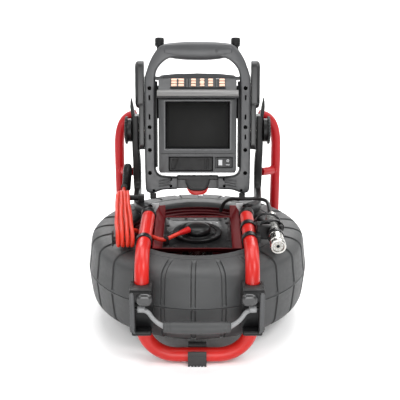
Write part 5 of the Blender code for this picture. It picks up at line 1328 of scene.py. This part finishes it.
# ------------------------------------------------------------------ every CAD node still shown gets a procedural material
LEFT = {"red": M_RED, "steel": M_STEEL, "axle": M_STEEL, "bearing": M_STEEL}
for node, o in frame["nodes"].items():
    if o.hide_render:
        continue
    print("CAD node shown:", node)
    o.data.materials.clear()
    o.data.materials.append(M_STEEL if ("axle" in node or "bearing" in node or "bolt" in node or "pin" in node) else M_BLACK)

# ------------------------------------------------------------------ floor and light
fm, ft_, fb = nodes_of("visual_floor")
fco = ft_.nodes.new("ShaderNodeTexCoord").outputs["Object"]
ft_.links.new(mix_rgb(ft_, remap(ft_, noise(ft_, fco, 3.0, 2.0), 0.0, 1.0), (0.93, 0.93, 0.93), (0.96, 0.96, 0.96)), fb.inputs["Base Color"])
fb.inputs["Roughness"].default_value = 0.75
fb.inputs["Specular IOR Level"].default_value = 0.2
bm = bmesh.new()
prof = [(-4.0, 0.0), (2.2, 0.0)] + [(2.2 + 1.4 * math.sin(math.radians(a)), 1.4 - 1.4 * math.cos(math.radians(a))) for a in range(6, 91, 6)] + [(3.6, 5.0)]
rows = [[bm.verts.new((x, y, z)) for y, z in prof] for x in (-5.0, 5.0)]
for k in range(len(prof) - 1):
    bm.faces.new((rows[0][k], rows[1][k], rows[1][k + 1], rows[0][k + 1]))
me = bpy.data.meshes.new("studio_floor")
bm.to_mesh(me)
bm.free()
me.materials.append(fm)
me.shade_smooth()
floor = bpy.data.objects.new("studio_floor", me)
COL.objects.link(floor)


def area(name, loc, target, size, power, size_y=None):
    l = bpy.data.lights.new(name, "AREA")
    l.shape = "RECTANGLE"
    l.size = size
    l.size_y = size_y or size
    l.energy = power
    o = bpy.data.objects.new(name, l)
    COL.objects.link(o)
    o.location = loc
    o.rotation_euler = (Vector(target) - Vector(loc)).to_track_quat("-Z", "Y").to_euler()
    return o


area("key", (1.35, -1.35, 2.3), (0.0, 0.0, 0.2), 1.0, 38.0)
area("fill", (-1.6, -1.3, 1.9), (0.0, 0.0, 0.2), 1.1, 18.0)
area("top", (0.0, 0.5, 2.6), (0.0, 0.05, 0.2), 1.8, 48.0)
area("low_front", (0.0, -2.3, 0.55), (0.0, -0.1, 0.12), 1.5, 27.0, 1.2)
area("left_edge", (-1.9, 0.9, 1.2), (0.0, 0.0, 0.25), 0.9, 12.0, 1.4)
area("right_edge", (1.9, 0.9, 1.2), (0.0, 0.0, 0.25), 0.9, 14.0, 1.4)
area("floor_wash", (0.0, 2.4, 1.5), (0.0, 1.2, 0.0), 2.4, 48.0, 1.0)
w = bpy.data.worlds.new("world")
w.use_nodes = True
w.node_tree.nodes["Background"].inputs["Color"].default_value = (1.0, 1.0, 1.0, 1.0)
w.node_tree.nodes["Background"].inputs["Strength"].default_value = 0.46
bpy.context.scene.world = w
bpy.context.scene.view_settings.view_transform = "Standard"
